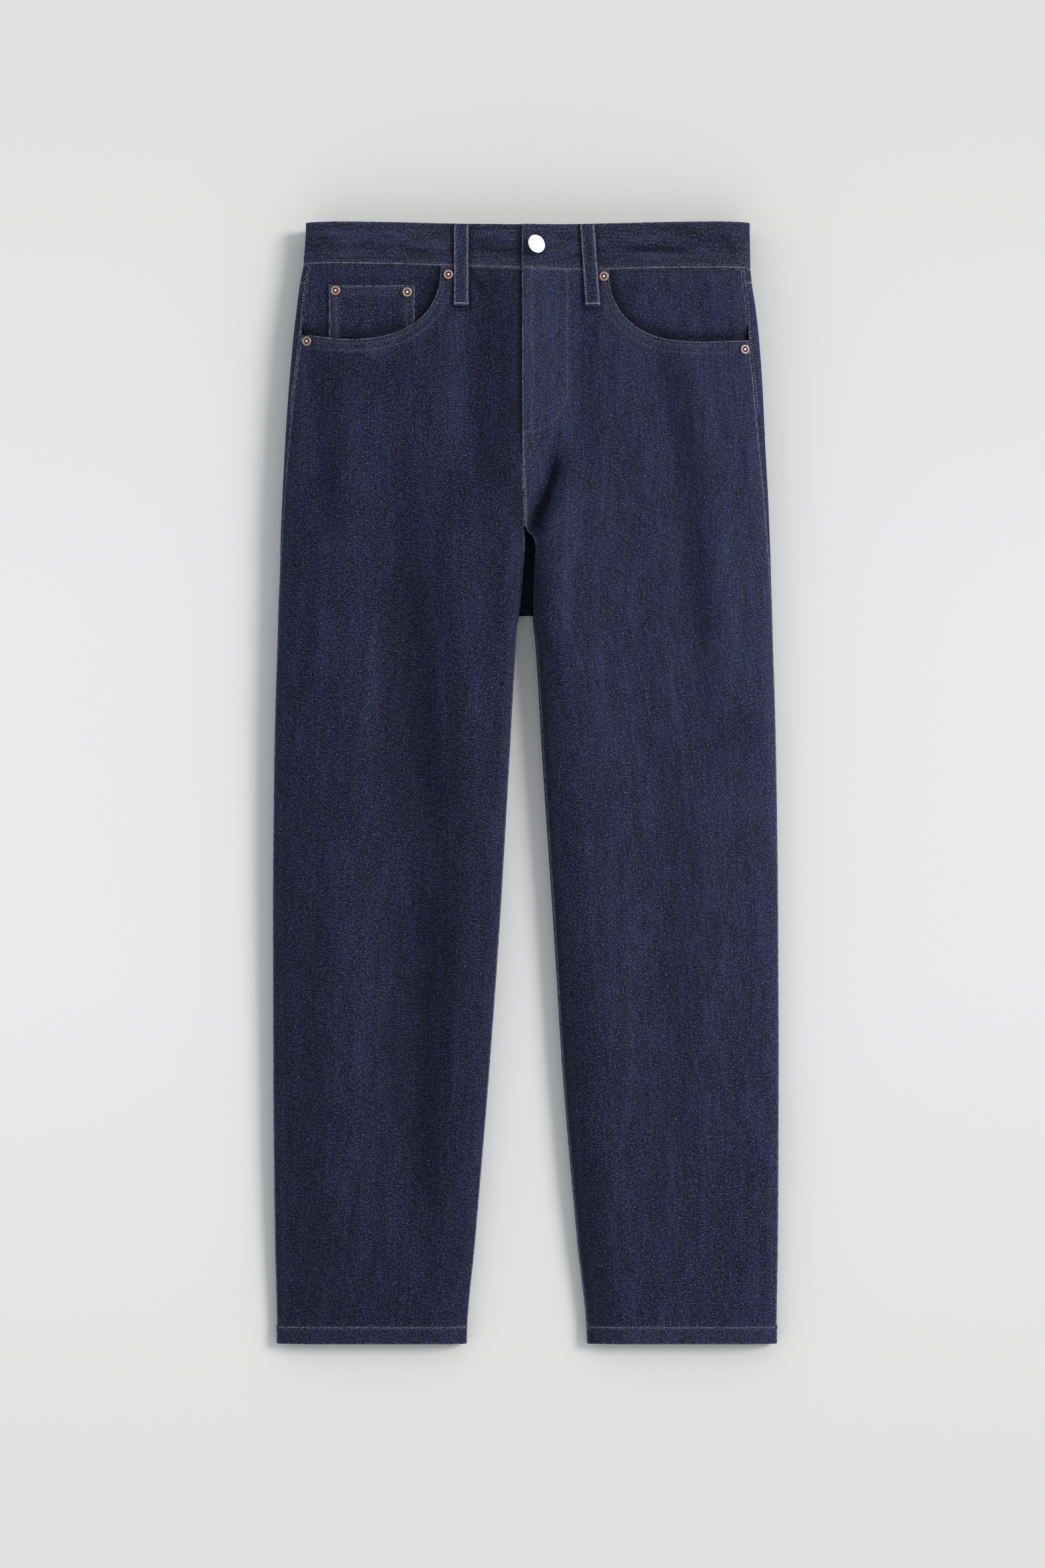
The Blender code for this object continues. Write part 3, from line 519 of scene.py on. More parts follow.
def crease_height(table, x, down):
    """What small creases add: each runs straight, and dies away towards its ends."""
    total = np.zeros(np.broadcast(x, down).shape)
    for crease in table:
        run_x = crease.x1 - crease.x0
        run_down = crease.down1 - crease.down0
        length = math.hypot(run_x, run_down)
        share = ((x - crease.x0) * run_x + (down - crease.down0) * run_down) / length ** 2
        away = ((x - crease.x0) * run_down - (down - crease.down0) * run_x) / length
        ends = ease(0, CREASE_FADE, share) * ease(0, CREASE_FADE, 1 - share)
        total += crease.height * ends * bell(away, crease.half_width)
    return total


def folded(side, x, down):
    """Creases of a front, and the extra depth of its folds, which dies away at its seams."""
    out = side.sign * x
    at_edges = ease(0, 24, outer_edge(side, down) - out) * ease(0, 16, out - inner_edge(side, down))
    gain = FOLD_GAIN * ease(FOLD_GAIN_START, FOLD_GAIN_FULL, down)
    gain = gain * np.where(down < CROTCH - 12, 1.0, at_edges) * ease(0, 24, outer_edge(side, down) - out)
    return crease_height(CREASES, x, down) + gain * fold_height(x, down)


def fly_step(side, x, down):
    """The right front lies lower where the fly edge laps over it."""
    if side is LEFT:
        return 0.0
    return FLY_LAP * ease(FLY_LAP_START, FLY_LAP_END, x) * (1 - ease(FLY_FADE_START, FLY_FADE_END, down))


def at_hem(down):
    """1 on the turned hem, 0 above it."""
    return ease(HEM_FOLD - HEM_STEP, HEM_FOLD, down)


def front_height(side, x, down):
    return along(LOFTS, down, "crest") + fold_height(x, down) - fly_step(side, x, down)


def outer_edge(side, down):
    return along(side.edges, down, "side")


def inner_edge(side, down):
    tuck = FLY_TUCK * (1 - ease(FLY_END, FLY_END + FLY_TUCK_FADE, down)) if side is RIGHT else 0.0
    return along(side.edges, down, "inner") + SEAM_GAP / 2 - tuck


def under_edge(side, down):
    """The back's inner edge: the centre back seam, or the inner leg below the fork."""
    centre = side.sign * along(SEAMS, down, "centre_back") + SEAM_GAP / 2
    return np.where(down >= FORK, inner_edge(side, down), centre)


def side_height(side, down):
    crest = front_height(side, side.sign * outer_edge(side, down), down) - along(LOFTS, down, "floor")
    return SIDE_SHARE * crest


def inner_height(side, down):
    crest = front_height(side, side.sign * inner_edge(side, down), down) - along(LOFTS, down, "floor")
    return along(LOFTS, down, "inner_share") * crest


def roll(distance, reach, edge_share):
    """Share of the full height at a distance from an edge, up a quarter of an ellipse."""
    share = np.clip(distance / reach, 0.0, 1.0)
    return mix(edge_share, 1, np.sqrt(1 - (1 - share) ** 2))


def top_height(side, x, down):
    """Height of the front at any x, with the rolls to its two edges."""
    out = side.sign * x
    floor = along(LOFTS, down, "floor")
    crest = front_height(side, x, down) - floor
    crest *= roll(outer_edge(side, down) - out, along(side.edges, down, "side_roll"), SIDE_SHARE)
    crest *= roll(out - inner_edge(side, down), along(side.edges, down, "inner_roll"),
                  along(LOFTS, down, "inner_share"))
    return floor + crest


def ring(side, down, turn):
    """x and z of the cloth's outside at turns."""
    down, turn = np.broadcast_arrays(np.asarray(down, float), np.asarray(turn, float))
    turn = np.where(turn >= 6, turn - 6, turn)
    quarter = math.pi / 2
    floor = along(LOFTS, down, "floor")
    outer = outer_edge(side, down)
    side_roll = along(side.edges, down, "side_roll")
    inner_roll = along(side.edges, down, "inner_roll")
    inner = inner_edge(side, down)
    front = np.select(
        [turn <= 1, turn <= 2],
        [outer - side_roll * (1 - np.cos(turn * quarter)),
         mix(outer - side_roll, inner + inner_roll, turn - 1)],
        inner + inner_roll * (1 - np.cos((3 - turn) * quarter)))
    under = under_edge(side, down)
    rising = np.where(down >= FORK, inner_height(side, down), 0.0)
    back = np.select(
        [turn <= 4, turn <= 5],
        [under + TURN_UNDER * (1 - np.cos((turn - 3) * quarter)),
         mix(under + TURN_UNDER, outer - TURN_UNDER, turn - 4)],
        outer - TURN_UNDER * (1 - np.cos((6 - turn) * quarter)))
    lift = np.select(
        [turn <= 4, turn <= 5],
        [rising * (1 - np.sin((turn - 3) * quarter)), 0.0],
        side_height(side, down) * (1 - np.sin((6 - turn) * quarter)))
    x = side.sign * np.where(turn <= 3, front, back)
    z = np.where(turn <= 3, top_height(side, x, down), floor + lift)
    return x, z


def beside(side, down, turn, gap):
    """The turns that lie a gap further round."""
    x0, z0 = ring(side, down, turn - 0.01)
    x1, z1 = ring(side, down, turn + 0.01)
    return turn + gap * 0.02 / np.hypot(x1 - x0, z1 - z0)


def side_turn(side, down):
    inset = along(SEAMS, down, side.name + "_inset")
    return np.arccos(1 - inset / along(side.edges, down, "side_roll")) / (math.pi / 2)


def mouth_down(mouth, out):
    share = np.clip((out - mouth.start) / mouth.reach, 0.0, 1.0)
    fall = (1 - (1 - share) ** MOUTH_POWER) ** (1 / MOUTH_POWER)
    return mix(mouth.top, mouth.bottom, fall) - mouth.rise * ease(mouth.start + mouth.reach, HIP_HALF, out)


def band_edge(x):
    sag = BAND_SAG * bell(x - BAND_SAG_CENTRE, BAND_SAG_HALF)
    return BAND_DEPTH + BAND_SLANT * x / HIP_HALF + sag


def waist_edge(x, under):
    return np.where(under, BACK_DIP, FRONT_DIP * (1 - ease(0, DIP_REACH, np.abs(x))))


def yoke_edge(x):
    return mix(YOKE_CENTRE, YOKE_SIDE, np.minimum(np.abs(x) / HIP_HALF, 1.0))


def points(x, down, z):
    """Places in the frame's own axes, in millimetres."""
    x, down, z = np.broadcast_arrays(x, down, z)
    return np.stack([x, LENGTH / 2 - down, z], axis=-1)


# ---- fine relief, measured along the cloth's own direction outwards

def distance_to(line, x, down):
    """Distance from each place to a line given by close points."""
    spots = np.stack([x, down], axis=-1).reshape(-1, 1, 2)
    nearest = [np.linalg.norm(spots[i:i + 2000] - line[None], axis=2).min(axis=1)
               for i in range(0, len(spots), 2000)]
    return np.concatenate(nearest).reshape(x.shape)


def groove(distance):
    """The small dip that a row of stitches pulls into the cloth."""
    return -STITCH_GROOVE * bell(distance, GROOVE_HALF)


def near_rows(*distances):
    """1 on a row of stitches, fading out over the few millimetres that it makes uneven."""
    return np.clip(sum(bell(distance, ROW_HALF) for distance in distances), 0.0, 1.0)


def pucker(place, wave, size):
    """Uneven ripples along a seam: two waves that never fall into step."""
    place = place * math.tau / wave
    return size * (0.6 * np.sin(place) + 0.4 * np.sin(place / 0.617 + 1.3) * np.sin(place / 4.3))


def fly_line():
    """The row of stitches that holds the fly facing: straight down, then curving in to the fly edge."""
    upper = [(FLY_EDGE + FLY_WIDTH, down) for down in np.arange(BAND_DEPTH + 2, FLY_CURVE, POINT_STEP)]
    curve = [(FLY_EDGE + FLY_WIDTH * math.cos(angle), mix(FLY_CURVE, FLY_END, math.sin(angle)))
             for angle in np.linspace(0, math.pi / 2, 90)]
    return np.array(upper + curve)


def mouth_line(side, inset=0.0):
    """A pocket mouth's edge, or a line at a distance from it on the front, from the waistband out."""
    share = np.linspace(0, 1, 400) ** 2
    out = mix(side.mouth.start, HIP_HALF, share)
    line = np.stack([out, mouth_down(side.mouth, out)], axis=1)
    step = np.gradient(line, axis=0)
    step /= np.linalg.norm(step, axis=1, keepdims=True)
    line += inset * np.stack([-step[:, 1], step[:, 0]], axis=1)
    return line * (side.sign, 1)


def front_relief(side, x, down):
    """Fine relief of a front: hem, pocket mouth, fly, waist seam and side seam."""
    to_hem = HEM_FOLD + HEM_ROW - down
    relief = HEM_PROUD * at_hem(down) + groove(to_hem)
    relief += np.where(to_hem < 6, pucker(x - 0.7 * down, 8.5, 0.16), 0) * ease(9, 0, to_hem)
    to_mouth = distance_to(mouth_line(side), x, down)
    near = to_mouth < 30
    relief += near * MOUTH_BULGE * ease(MOUTH_HEM + 1.5, MOUTH_HEM - 1.0, to_mouth)
    relief += near * (groove(to_mouth - MOUTH_ROWS[0]) + groove(to_mouth - MOUTH_ROWS[1]))
    relief += pucker(x + 0.6 * down, 5.3, 0.12) * bell(to_mouth - sum(MOUTH_ROWS) / 2, 4.0)
    below_band = down - band_edge(x)
    relief += pucker(x, 7.3, 0.22) * np.exp(-below_band / 7.0) * (below_band > 0)
    if side is LEFT:
        inside = np.minimum(FLY_EDGE + FLY_WIDTH - x, FLY_END - down + 1.0)
        past_curve = np.maximum(down - FLY_CURVE, 0) / (FLY_END - FLY_CURVE)
        corner = 1 - ((x - FLY_EDGE) / FLY_WIDTH) ** 2 - past_curve ** 2
        inside = np.where(down > FLY_CURVE, corner * 18.0, inside)
        relief += FLY_BULGE * ease(-2.0, 1.5, inside) + groove(distance_to(fly_line(), x, down))
        relief += pucker(down + 0.5 * x, 6.1, 0.14) * ease(14, 2, x) * (down < FLY_END + 4)
    seam = outer_edge(side, down) - along(SEAMS, down, side.name + "_inset") - side.sign * x
    relief += pucker(down, 9.0, 0.10) * bell(seam, 7.0)
    return relief


# ---- cutting and laying pieces of cloth

CUT_SHIFT = 0.173          # every piece is cut from another place on the cloth, this far on in metres
made = {}


def mesh_of(bm, name):
    mesh = bpy.data.meshes.new(name)
    bm.to_mesh(mesh)
    bm.free()
    return mesh


def into_scene(name, data):
    item = bpy.data.objects.new(name, data)
    bpy.context.collection.objects.link(item)
    return item


def dress(name, mesh, material, node=None):
    """Put a finished mesh on the garment, in place of the plain solid that it dresses."""
    mesh.materials.append(material)
    mesh.shade_smooth()
    piece = into_scene(name, mesh)
    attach(piece, "root")
    if node:
        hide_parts(node)
    return piece


def blank(name, columns, rows, keep=None):
    """A flat sheet of unit cells, doubled into a closed wall: z is 0 on its outside, -1 on its inside."""
    bm = bmesh.new()
    unit = Matrix.Diagonal((columns, rows, 1, 1)) @ Matrix.Translation((0.5, 0.5, 0))
    bmesh.ops.create_grid(bm, x_segments=columns, y_segments=rows, size=0.5, matrix=unit)
    if keep is not None:
        centres = {face: face.calc_center_median() for face in bm.faces}
        cut = [face for face, centre in centres.items() if not keep[int(centre.y), int(centre.x)]]
        bmesh.ops.delete(bm, geom=cut, context="FACES")
    doubled = bmesh.ops.extrude_face_region(bm, geom=bm.faces[:])
    inside = [item for item in doubled["geom"] if isinstance(item, bmesh.types.BMVert)]
    bmesh.ops.translate(bm, vec=(0, 0, -1), verts=inside)
    bmesh.ops.recalc_face_normals(bm, faces=bm.faces)
    return mesh_of(bm, name)


def lengths(grid, axis):
    """Distance along the cloth from the first row or column."""
    steps = np.linalg.norm(np.diff(grid, axis=axis), axis=2)
    return np.insert(np.cumsum(steps, axis=axis), 0, 0.0, axis=axis)


def rim_distance(grid, keep=None):
    """Distance along the cloth to the nearest of its four edges, or to a notch cut out of it."""
    across = lengths(grid, 1)
    downward = lengths(grid, 0)
    rim = np.minimum(np.minimum(across, across[:, -1:] - across),
                     np.minimum(downward, downward[-1:] - downward))
    if keep is not None:
        open_cells = np.pad(~keep, 1, constant_values=False)
        beside_notch = open_cells[1:, 1:] | open_cells[:-1, 1:] | open_cells[1:, :-1] | open_cells[:-1, :-1]
        rim = np.where(beside_notch, 0.0, rim)
    return rim


def normals(grid, facing):
    """Directions outwards, for a grid whose columns, then rows, turn clockwise where facing is 1."""
    normal = facing * np.cross(np.gradient(grid, axis=1), np.gradient(grid, axis=0))
    return normal / np.linalg.norm(normal, axis=2, keepdims=True)


def lay(node, grid, thickness, facing, material, relief=0.0, crease=0.0, keep=None, rim=None, edge=None,
        sewn=None, worn=0.0, grain="down", middle=0, shown=None, normal=None):
    """Make one piece of cloth from a grid of places on its outside.

    It lies over the piece that is named, or else on the floor. facing is 1 where columns, then rows, turn
    clockwise seen from outside. crease moves both faces of the cloth, and relief only the outside. edge is
    the distance to the edge that shows wear. shown marks where the inside of the cloth is the dyed face.
    The cut map runs along the grain, so the weave follows it.
    """
    normal = normals(grid, facing) if normal is None else normal
    rim = rim_distance(grid, keep) if rim is None else rim
    edge = rim if edge is None else edge
    radius = ROUNDING * thickness
    share = np.clip(rim / radius, 0.0, 1.0)
    rounded = radius * (1 - np.sqrt(1 - (1 - share) ** 2))
    outer = grid + normal * (crease + relief - rounded)[..., None]
    inner = grid + normal * (crease + rounded - thickness)[..., None]
    mesh = blank(node + "_cloth", grid.shape[1] - 1, grid.shape[0] - 1, keep)
    spots = np.empty(len(mesh.vertices) * 3)
    mesh.vertices.foreach_get("co", spots)
    column, row, under = np.rint(spots.reshape(-1, 3)).astype(int).T
    wall = np.where((under < 0)[:, None], inner[row, column], outer[row, column])
    mesh.vertices.foreach_set("co", (wall * MM).ravel())
    if facing < 0:
        mesh.flip_normals()
    run = lengths(grid, 1)
    width = lengths(grid * (1, 0, 1), 1)
    width -= width[:, middle:middle + 1]
    width *= facing
    cut = np.stack([width, grid[..., 1]] if grain == "down" else [grid[..., 1], width], axis=-1) * MM
    cut += CUT_SHIFT * (len(made) + 1)
    corners = np.empty(len(mesh.loops), int)
    mesh.loops.foreach_get("vertex_index", corners)
    mesh.uv_layers.new(name="cut").data.foreach_set("uv", cut[row, column][corners].ravel())
    reverse = (under < 0) * (1.0 if shown is None else 1.0 - shown[row, column])
    sewn = np.zeros(edge.shape) if sewn is None else sewn
    worn = np.broadcast_to(worn, edge.shape)
    for label, values in (("edge", edge[row, column]), ("sewn", sewn[row, column]),
                          ("worn", worn[row, column]), ("inside", reverse)):
        mesh.attributes.new(label, "FLOAT", "POINT").data.foreach_set("value", values)
    piece = dress(node + "_cloth", mesh, material, node)
    down_run = lengths(grid, 0)
    area = cloth_area(grid, keep)
    flat = (float(run[:, -1].max()) * MM, float(down_run[-1].max()) * MM)
    share = area / (flat[0] * flat[1])
    made[node] = piece


def cloth_area(grid, keep):
    """Area of the piece's outside, in square metres: two triangles to a cell."""
    a, b, c, d = grid[:-1, :-1], grid[:-1, 1:], grid[1:, 1:], grid[1:, :-1]
    halves = np.cross(b - a, c - a), np.cross(c - a, d - a)
    cells = (np.linalg.norm(halves[0], axis=2) + np.linalg.norm(halves[1], axis=2)) / 2
    if keep is not None:
        cells = cells * keep
    return float(cells.sum()) * MM * MM


def close_ends(low, high, steps, middle):
    """Places from low to high: steps apart at both ends, and the middle ones between."""
    return np.concatenate([low + steps, middle, (high - steps)[::-1]])


def even(low, high, cell):
    """Evenly spaced values at about a cell's distance, without the last."""
    count = max(1, round(abs(high - low) / cell))
    return np.linspace(low, high, count + 1)[:-1]


# ---- the panels

def front_places(side):
    """Column labels: 0 to 1 from the side seam over the side, 1 to 2 across, 2 to 3 to the inner seam."""
    level = 55.0
    flat_start = outer_edge(side, level) - along(side.edges, level, "side_roll")
    flat_end = inner_edge(side, level) + along(side.edges, level, "inner_roll")
    close = side.mouth.start + np.array([-0.8, -0.2, 0.02, 0.25, 0.6, 1.1, 1.8, 2.8, 4.0, 5.4])
    close = 1 + (flat_start - close) / (flat_start - flat_end)
    spread = np.linspace(1, 2, 54)
    spread = spread[(spread < close.min() - 0.006) | (spread > close.max() + 0.006)]
    middle = np.sort(np.concatenate([spread, close]))
    return np.concatenate([np.linspace(0, 1, 15)[:-1], middle, np.linspace(2, 3, 17)[1:]])


def front_turn(side, label, down):
    seam = beside(side, down, side_turn(side, down), SEAM_GAP / 2)
    inner = along(SEAMS, down, "inner_turn")
    last = np.where(inner > 2.99, 3.0, beside(side, down, np.minimum(inner, 2.98), -SEAM_GAP / 2))
    return np.select([label < 1, label <= 2], [mix(seam, 1, label), label], mix(2, last, label - 2))


def front_top(side, labels):
    """How far down each column begins: at the pocket mouth, or at the waistband."""
    low = np.full(labels.shape, 40.0)
    high = np.full(labels.shape, side.mouth.bottom + 2)
    for _ in range(24):
        down = (low + high) / 2
        out = np.abs(ring(side, down, front_turn(side, labels, down))[0])
        above = down < mouth_down(side.mouth, out)
        low = np.where(above, down, low)
        high = np.where(above, high, down)
    out = np.abs(ring(side, low, front_turn(side, labels, low))[0])
    at_band = np.abs(ring(side, BAND_DEPTH, front_turn(side, labels, BAND_DEPTH))[0])
    seam = band_edge(side.sign * at_band) + SEAM_GAP
    return np.where(out > side.mouth.start, np.maximum(low, seam), seam)


def leg_rows(cell):
    """Straight rows down to the hem, close together at the turn of the hem and at its edge."""
    close = HEM_FOLD + np.array([-4, -2.6, -HEM_STEP, -0.9, -0.4, 0, 0.6, 1.4, 2.6])
    end = LENGTH - np.array(EDGE_STEPS[6::-1])
    return np.concatenate([even(STRAIGHT_ROW, CROTCH, cell), even(CROTCH, FORK - FORK_EDGE, cell),
                           (FORK - FORK_EDGE, FORK - 0.75), even(FORK, close[0], cell), close,
                           even(close[-1] + 2.2, end[0], cell), end])


def panel_rows(top, steps, count, cell):
    """All rows of a panel: close together at its top edge, evening out, then straight down to the hem."""
    near = top[None] + np.array(EDGE_STEPS[:steps])[:, None]
    between = mix(near[-1][None], STRAIGHT_ROW, np.linspace(0, 1, count)[1:-1, None])
    return np.concatenate([near, between, np.repeat(leg_rows(cell)[:, None], len(top), axis=1)])


def panel_wall(down):
    return mix(CLOTH, HEM_CLOTH, at_hem(down))


def beside_loops(x, down):
    """1 along the sides and the end of a front belt loop, where painted shadow falls."""
    shade = 0.0
    for loop in FRONT_LOOPS:
        aside = np.abs(x - mix(loop.top_x, loop.end_x, down / LOOP_END)) - LOOP_WIDTH / 2
        shade = shade + bell(np.maximum(aside, down - LOOP_END), LOOP_PAINTED_SHADOW_REACH)
    return shade


def under_lap(x):
    """1 beside the fly edge, where the cloth under the lap takes painted shadow."""
    return bell(x - LAP_PAINTED_SHADOW_CENTRE, LAP_PAINTED_SHADOW_REACH)


def front_wear_and_shade(side, x, down):
    """How faded the cloth is: more on ridges, partly as painted light, on the fly and at the hem; below 0
    painted shade in troughs, creases and patches, beside the fly, lap and loops and on the inner roll, and a
    darker tone lower down.
    """
    fold = fold_height(x, down)
    crease = crease_height(CREASES, x, down)
    out = side.sign * x - inner_edge(side, down)
    beside_fly = ease(-56, -40, x) * ease(FLY_END + 90, FLY_END + 10, down)
    wear = side.front_fade - side.knee_shade * ease(*KNEE, down) - side.shin_shade * ease(*SHIN, down)
    wear = wear + HEM_WEAR * at_hem(down) + crease_height(FADES_AND_PAINTED_SHADE, x, down) - LOOP_PAINTED_SHADOW * beside_loops(x, down)
    wear = wear + RIDGE_WEAR_AND_PAINTED_LIGHT * ease(0.5, 3.0, fold) * (1 - beside_fly) - TROUGH_PAINTED_SHADE * ease(-1.0, -7.0, fold)
    wear = wear + CREASE_WEAR_AND_PAINTED_LIGHT * ease(0.3, 0.9, crease) - CREASE_PAINTED_SHADE * ease(-0.4, -3.2, crease)
    if side is LEFT:
        on_fly = ease(FLY_WIDTH + 2, FLY_WIDTH - 8, x) * ease(FLY_END + 14, FLY_END - 30, down)
        at_roll = ROLL_PAINTED_SHADE * ease(46, 3, out) + ROLL_EDGE_PAINTED_SHADE * ease(12, 1, out)
        return wear + FLY_WEAR * on_fly - at_roll * ease(CROTCH - 20, CROTCH + 60, down)
    lapped = under_lap(x) * ease(FLY_END + 6, FLY_END - 6, down)
    return wear - BESIDE_FLY_PAINTED_SHADE * beside_fly - LAP_PAINTED_SHADOW * lapped


def lay_front(side, material):
    labels = front_places(side)
    down = panel_rows(front_top(side, labels), len(EDGE_STEPS), 15, CELL)
    turn = front_turn(side, labels[None], down)
    x, z = ring(side, down, turn)
    grid = points(x, down, z)
    to_mouth = distance_to(mouth_line(side), x, down)
    at_mouth = side.sign * x > side.mouth.start - 6
    rim = np.minimum(rim_distance(grid), np.where(at_mouth, to_mouth, FAR))
    sewn = (0.5 - 0.3 * side.facing_fade) * near_rows(to_mouth - MOUTH_ROWS[0], to_mouth - MOUTH_ROWS[1])
    sewn += 0.6 * near_rows(HEM_FOLD + HEM_ROW - down)
    if side is LEFT:
        beside_edge = np.where(down < FLY_END, x - FLY_ROW, NOWHERE)
        in_crotch = np.where(down > FLY_END, x - inner_edge(side, down) - CROTCH_ROW, NOWHERE)
        sewn += 0.3 * near_rows(distance_to(fly_line(), x, down), beside_edge) + 0.7 * near_rows(in_crotch)
    lay("front_" + side.name, grid, panel_wall(down), side.sign, material, relief=front_relief(side, x, down),
        crease=folded(side, x, down), rim=rim, sewn=sewn, worn=front_wear_and_shade(side, x, down),
        middle=len(labels) // 2)


UNDER_START = 3.1          # the first column under the inner edge, or at the centre back seam
SIDE_START = 5.67          # the column from which the back rises up the side


def back_places():
    """Column labels: 2 to 3 is the turned inner edge, 3.1 to 4 goes under, then the floor and the side."""
    return np.concatenate([np.linspace(2, 3, 6), np.linspace(UNDER_START, 4, 8), np.linspace(4, 5, 36)[1:-1],
                           np.linspace(5, SIDE_START, 8), np.linspace(SIDE_START, SIDE_START + 1, 10)[1:]])


def back_turn(side, label, down):
    inner = along(SEAMS, down, "inner_turn")
    edge = mix(beside(side, down, np.minimum(inner, 2.98), SEAM_GAP / 2), 3.0, label - 2)
    flat = np.where(down >= FORK, label, mix(3.0001, 4.0, (label - UNDER_START) / (4 - UNDER_START)))
    seam = beside(side, down, side_turn(side, down), -SEAM_GAP / 2) + 6
    return np.select([label <= 3, label < 4, label <= SIDE_START], [edge, flat, label],
                     mix(SIDE_START, seam, label - SIDE_START))


def back_top(side, labels):
    x = ring(side, YOKE_CENTRE, back_turn(side, labels, YOKE_CENTRE) % 6)[0]
    return np.where(labels <= UNDER_START, YOKE_CENTRE, yoke_edge(x))


def on_floor(turn):
    """1 where the cloth lies flat under the piece, and 0 where it shows at the side."""
    return ease(5.95, 5.5, turn)


def back_relief(down, turn):
    return (1 - on_floor(turn)) * (HEM_PROUD * at_hem(down) + pucker(down, 9.0, 0.10))


def lay_back(side, material):
    labels = back_places()
    down = panel_rows(back_top(side, labels) + SEAM_GAP / 2, 8, 12, BACK_CELL)
    turn = back_turn(side, labels[None], down)
    x, z = ring(side, down, turn % 6)
    centre_seam = (labels[None] == UNDER_START) & (down < FORK - 0.01)
    grid = points(np.where(centre_seam, x - side.sign * (SEAM_GAP / 2 - 0.01), x), down, z)
    low = down[:-1].max(axis=1)[:, None]
    label = labels[None, :-1]
    keep = np.where(label < 3, low >= CROTCH - 0.01, (label >= UNDER_START) | (low >= FORK - 0.01))
    rim = np.where(centre_seam, FAR, rim_distance(grid, keep))
    crease = on_floor(turn) * (crease_height(BACK_CREASES, x, down) - BACK_SINK)
    shown = (np.abs(x) < BETWEEN_LEGS) & (down > CROTCH - 8)
    edge_columns = np.count_nonzero(labels < UNDER_START)
    halves = grid[:, :edge_columns], grid[:, edge_columns:]
    apart = np.concatenate([normals(half, side.sign) for half in halves], axis=1)
    normal = np.where((down < FORK - 0.01)[..., None], apart, normals(grid, side.sign))
    # Between the legs the back shows its dyed face, and takes painted shade there.
    lay("back_" + side.name, grid, panel_wall(down), side.sign, material, relief=back_relief(down, turn),
        crease=crease, keep=keep, rim=rim, worn=-BETWEEN_LEGS_PAINTED_SHADE * shown, middle=25, shown=shown, normal=normal)


def lay_yoke(side, material):
    labels = back_places()
    labels = labels[labels >= UNDER_START]
    bottom = back_top(side, labels) - SEAM_GAP / 2
    x = ring(side, bottom, back_turn(side, labels, bottom) % 6)[0]
    top = band_edge(x) + SEAM_GAP
    share = np.concatenate([[0, 0.01, 0.03], np.linspace(0.06, 0.94, 12), [0.97, 0.99, 1]])[:, None]
    down = mix(top[None], bottom[None], share)
    turn = back_turn(side, labels[None], down)
    x, z = ring(side, down, turn % 6)
    lay("yoke_" + side.name, points(x, down, z), CLOTH, side.sign, material,
        crease=-BACK_SINK * on_floor(turn), middle=20)


# ---- waistband, facings, loops and patch pockets

def lay_waistband(material):
    """One strip from its left end at the fly, round the back, to its right end under the fly."""
    turns = np.concatenate([3 - np.array([0, 0.02, 0.05, 0.09, 0.15, 0.22]), np.linspace(2.7, 2, 12),
                            np.linspace(2, 1, 56)[1:], np.linspace(1, 0, 18)[1:],
                            np.linspace(5.75, 5, 10), np.linspace(5, 4, 60)[1:]])
    halves = []
    for side in (LEFT, RIGHT):
        middle_x = ring(side, band_edge(0) / 2, turns)[0]
        top = waist_edge(middle_x, turns > 3)
        bottom = band_edge(middle_x)
        share = np.concatenate([[0, 0.006, 0.016, 0.035, 0.06], np.linspace(0.1, 0.9, 15),
                                [0.94, 0.965, 0.984, 0.994, 1]])[:, None]
        down = mix(top[None], bottom[None], share)
        x, z = ring(side, down, turns[None])
        halves.append((down, x, z))
    down, x, z = (np.concatenate([left, right[:, ::-1]], axis=1) for left, right in zip(*halves))
    right_front = np.concatenate([np.zeros(len(turns)), (turns[::-1] <= 3)]).astype(bool)[None]
    under = np.concatenate([turns > 3, turns[::-1] > 3])[None]
    lap = BAND_LAP * ease(BAND_LAP_START, FLY_LAP_END, x) * right_front
    lap -= np.where(lap > 0, fly_step(RIGHT, x, down), 0.0)
    grid = points(x, down, z)
    to_edge = band_edge(x) - down
    relief = groove(to_edge - BAND_ROW) + pucker(x, 6.7, 0.13) * bell(to_edge, 6.0)
    crease = BAND_PROUD * np.maximum(normals(grid, -1)[..., 2], 0.0) - lap
    small = np.where(under, 0.0, crease_height(CREASES, x, down))
    # On the band: faded and painted light on the ridges of its small creases, painted shade in their hollows,
    # and painted shadow beside the loops and under the lap
    worn = 1.6 * small - LOOP_PAINTED_SHADOW * beside_loops(x, down) - LAP_PAINTED_SHADOW * under_lap(x) * (lap > 0)
    lay("waistband", grid, BAND_CLOTH, -1, material, relief=relief, crease=crease + small,
        sewn=0.4 * near_rows(to_edge - BAND_ROW - 0.9), grain="across", worn=np.where(under, 0.0, worn))


def sunk(side, out, down, depth):
    """Places at a depth under the front's outside."""
    step = 0.5
    here = side.sign * out
    rise = (top_height(side, here + step, down) - top_height(side, here - step, down)) / (2 * step)
    size = np.hypot(rise, 1)
    return points(here + rise / size * depth, down, top_height(side, here, down) - depth / size)


def facing_seam(side, down):
    return outer_edge(side, down) - along(SEAMS, down, side.name + "_inset") - SEAM_GAP


def facing_depth(side, out, down):
    inside = np.maximum(ease(0, FACING_SIDE, facing_seam(side, down) - out),
                        ease(FACING_COVER, FACING_COVER_END, down))
    depth = mix(FACING_TOP, FACING_DEPTH, inside * ease(BAND_DEPTH, FACING_SLOPE_END, down))
    flush = ease(7.0, 0.5, facing_seam(side, down) - out) * ease(FACING_COVER_END - 5, FACING_COVER - 8, down)
    return mix(depth, SEAM_DEPTH, flush)


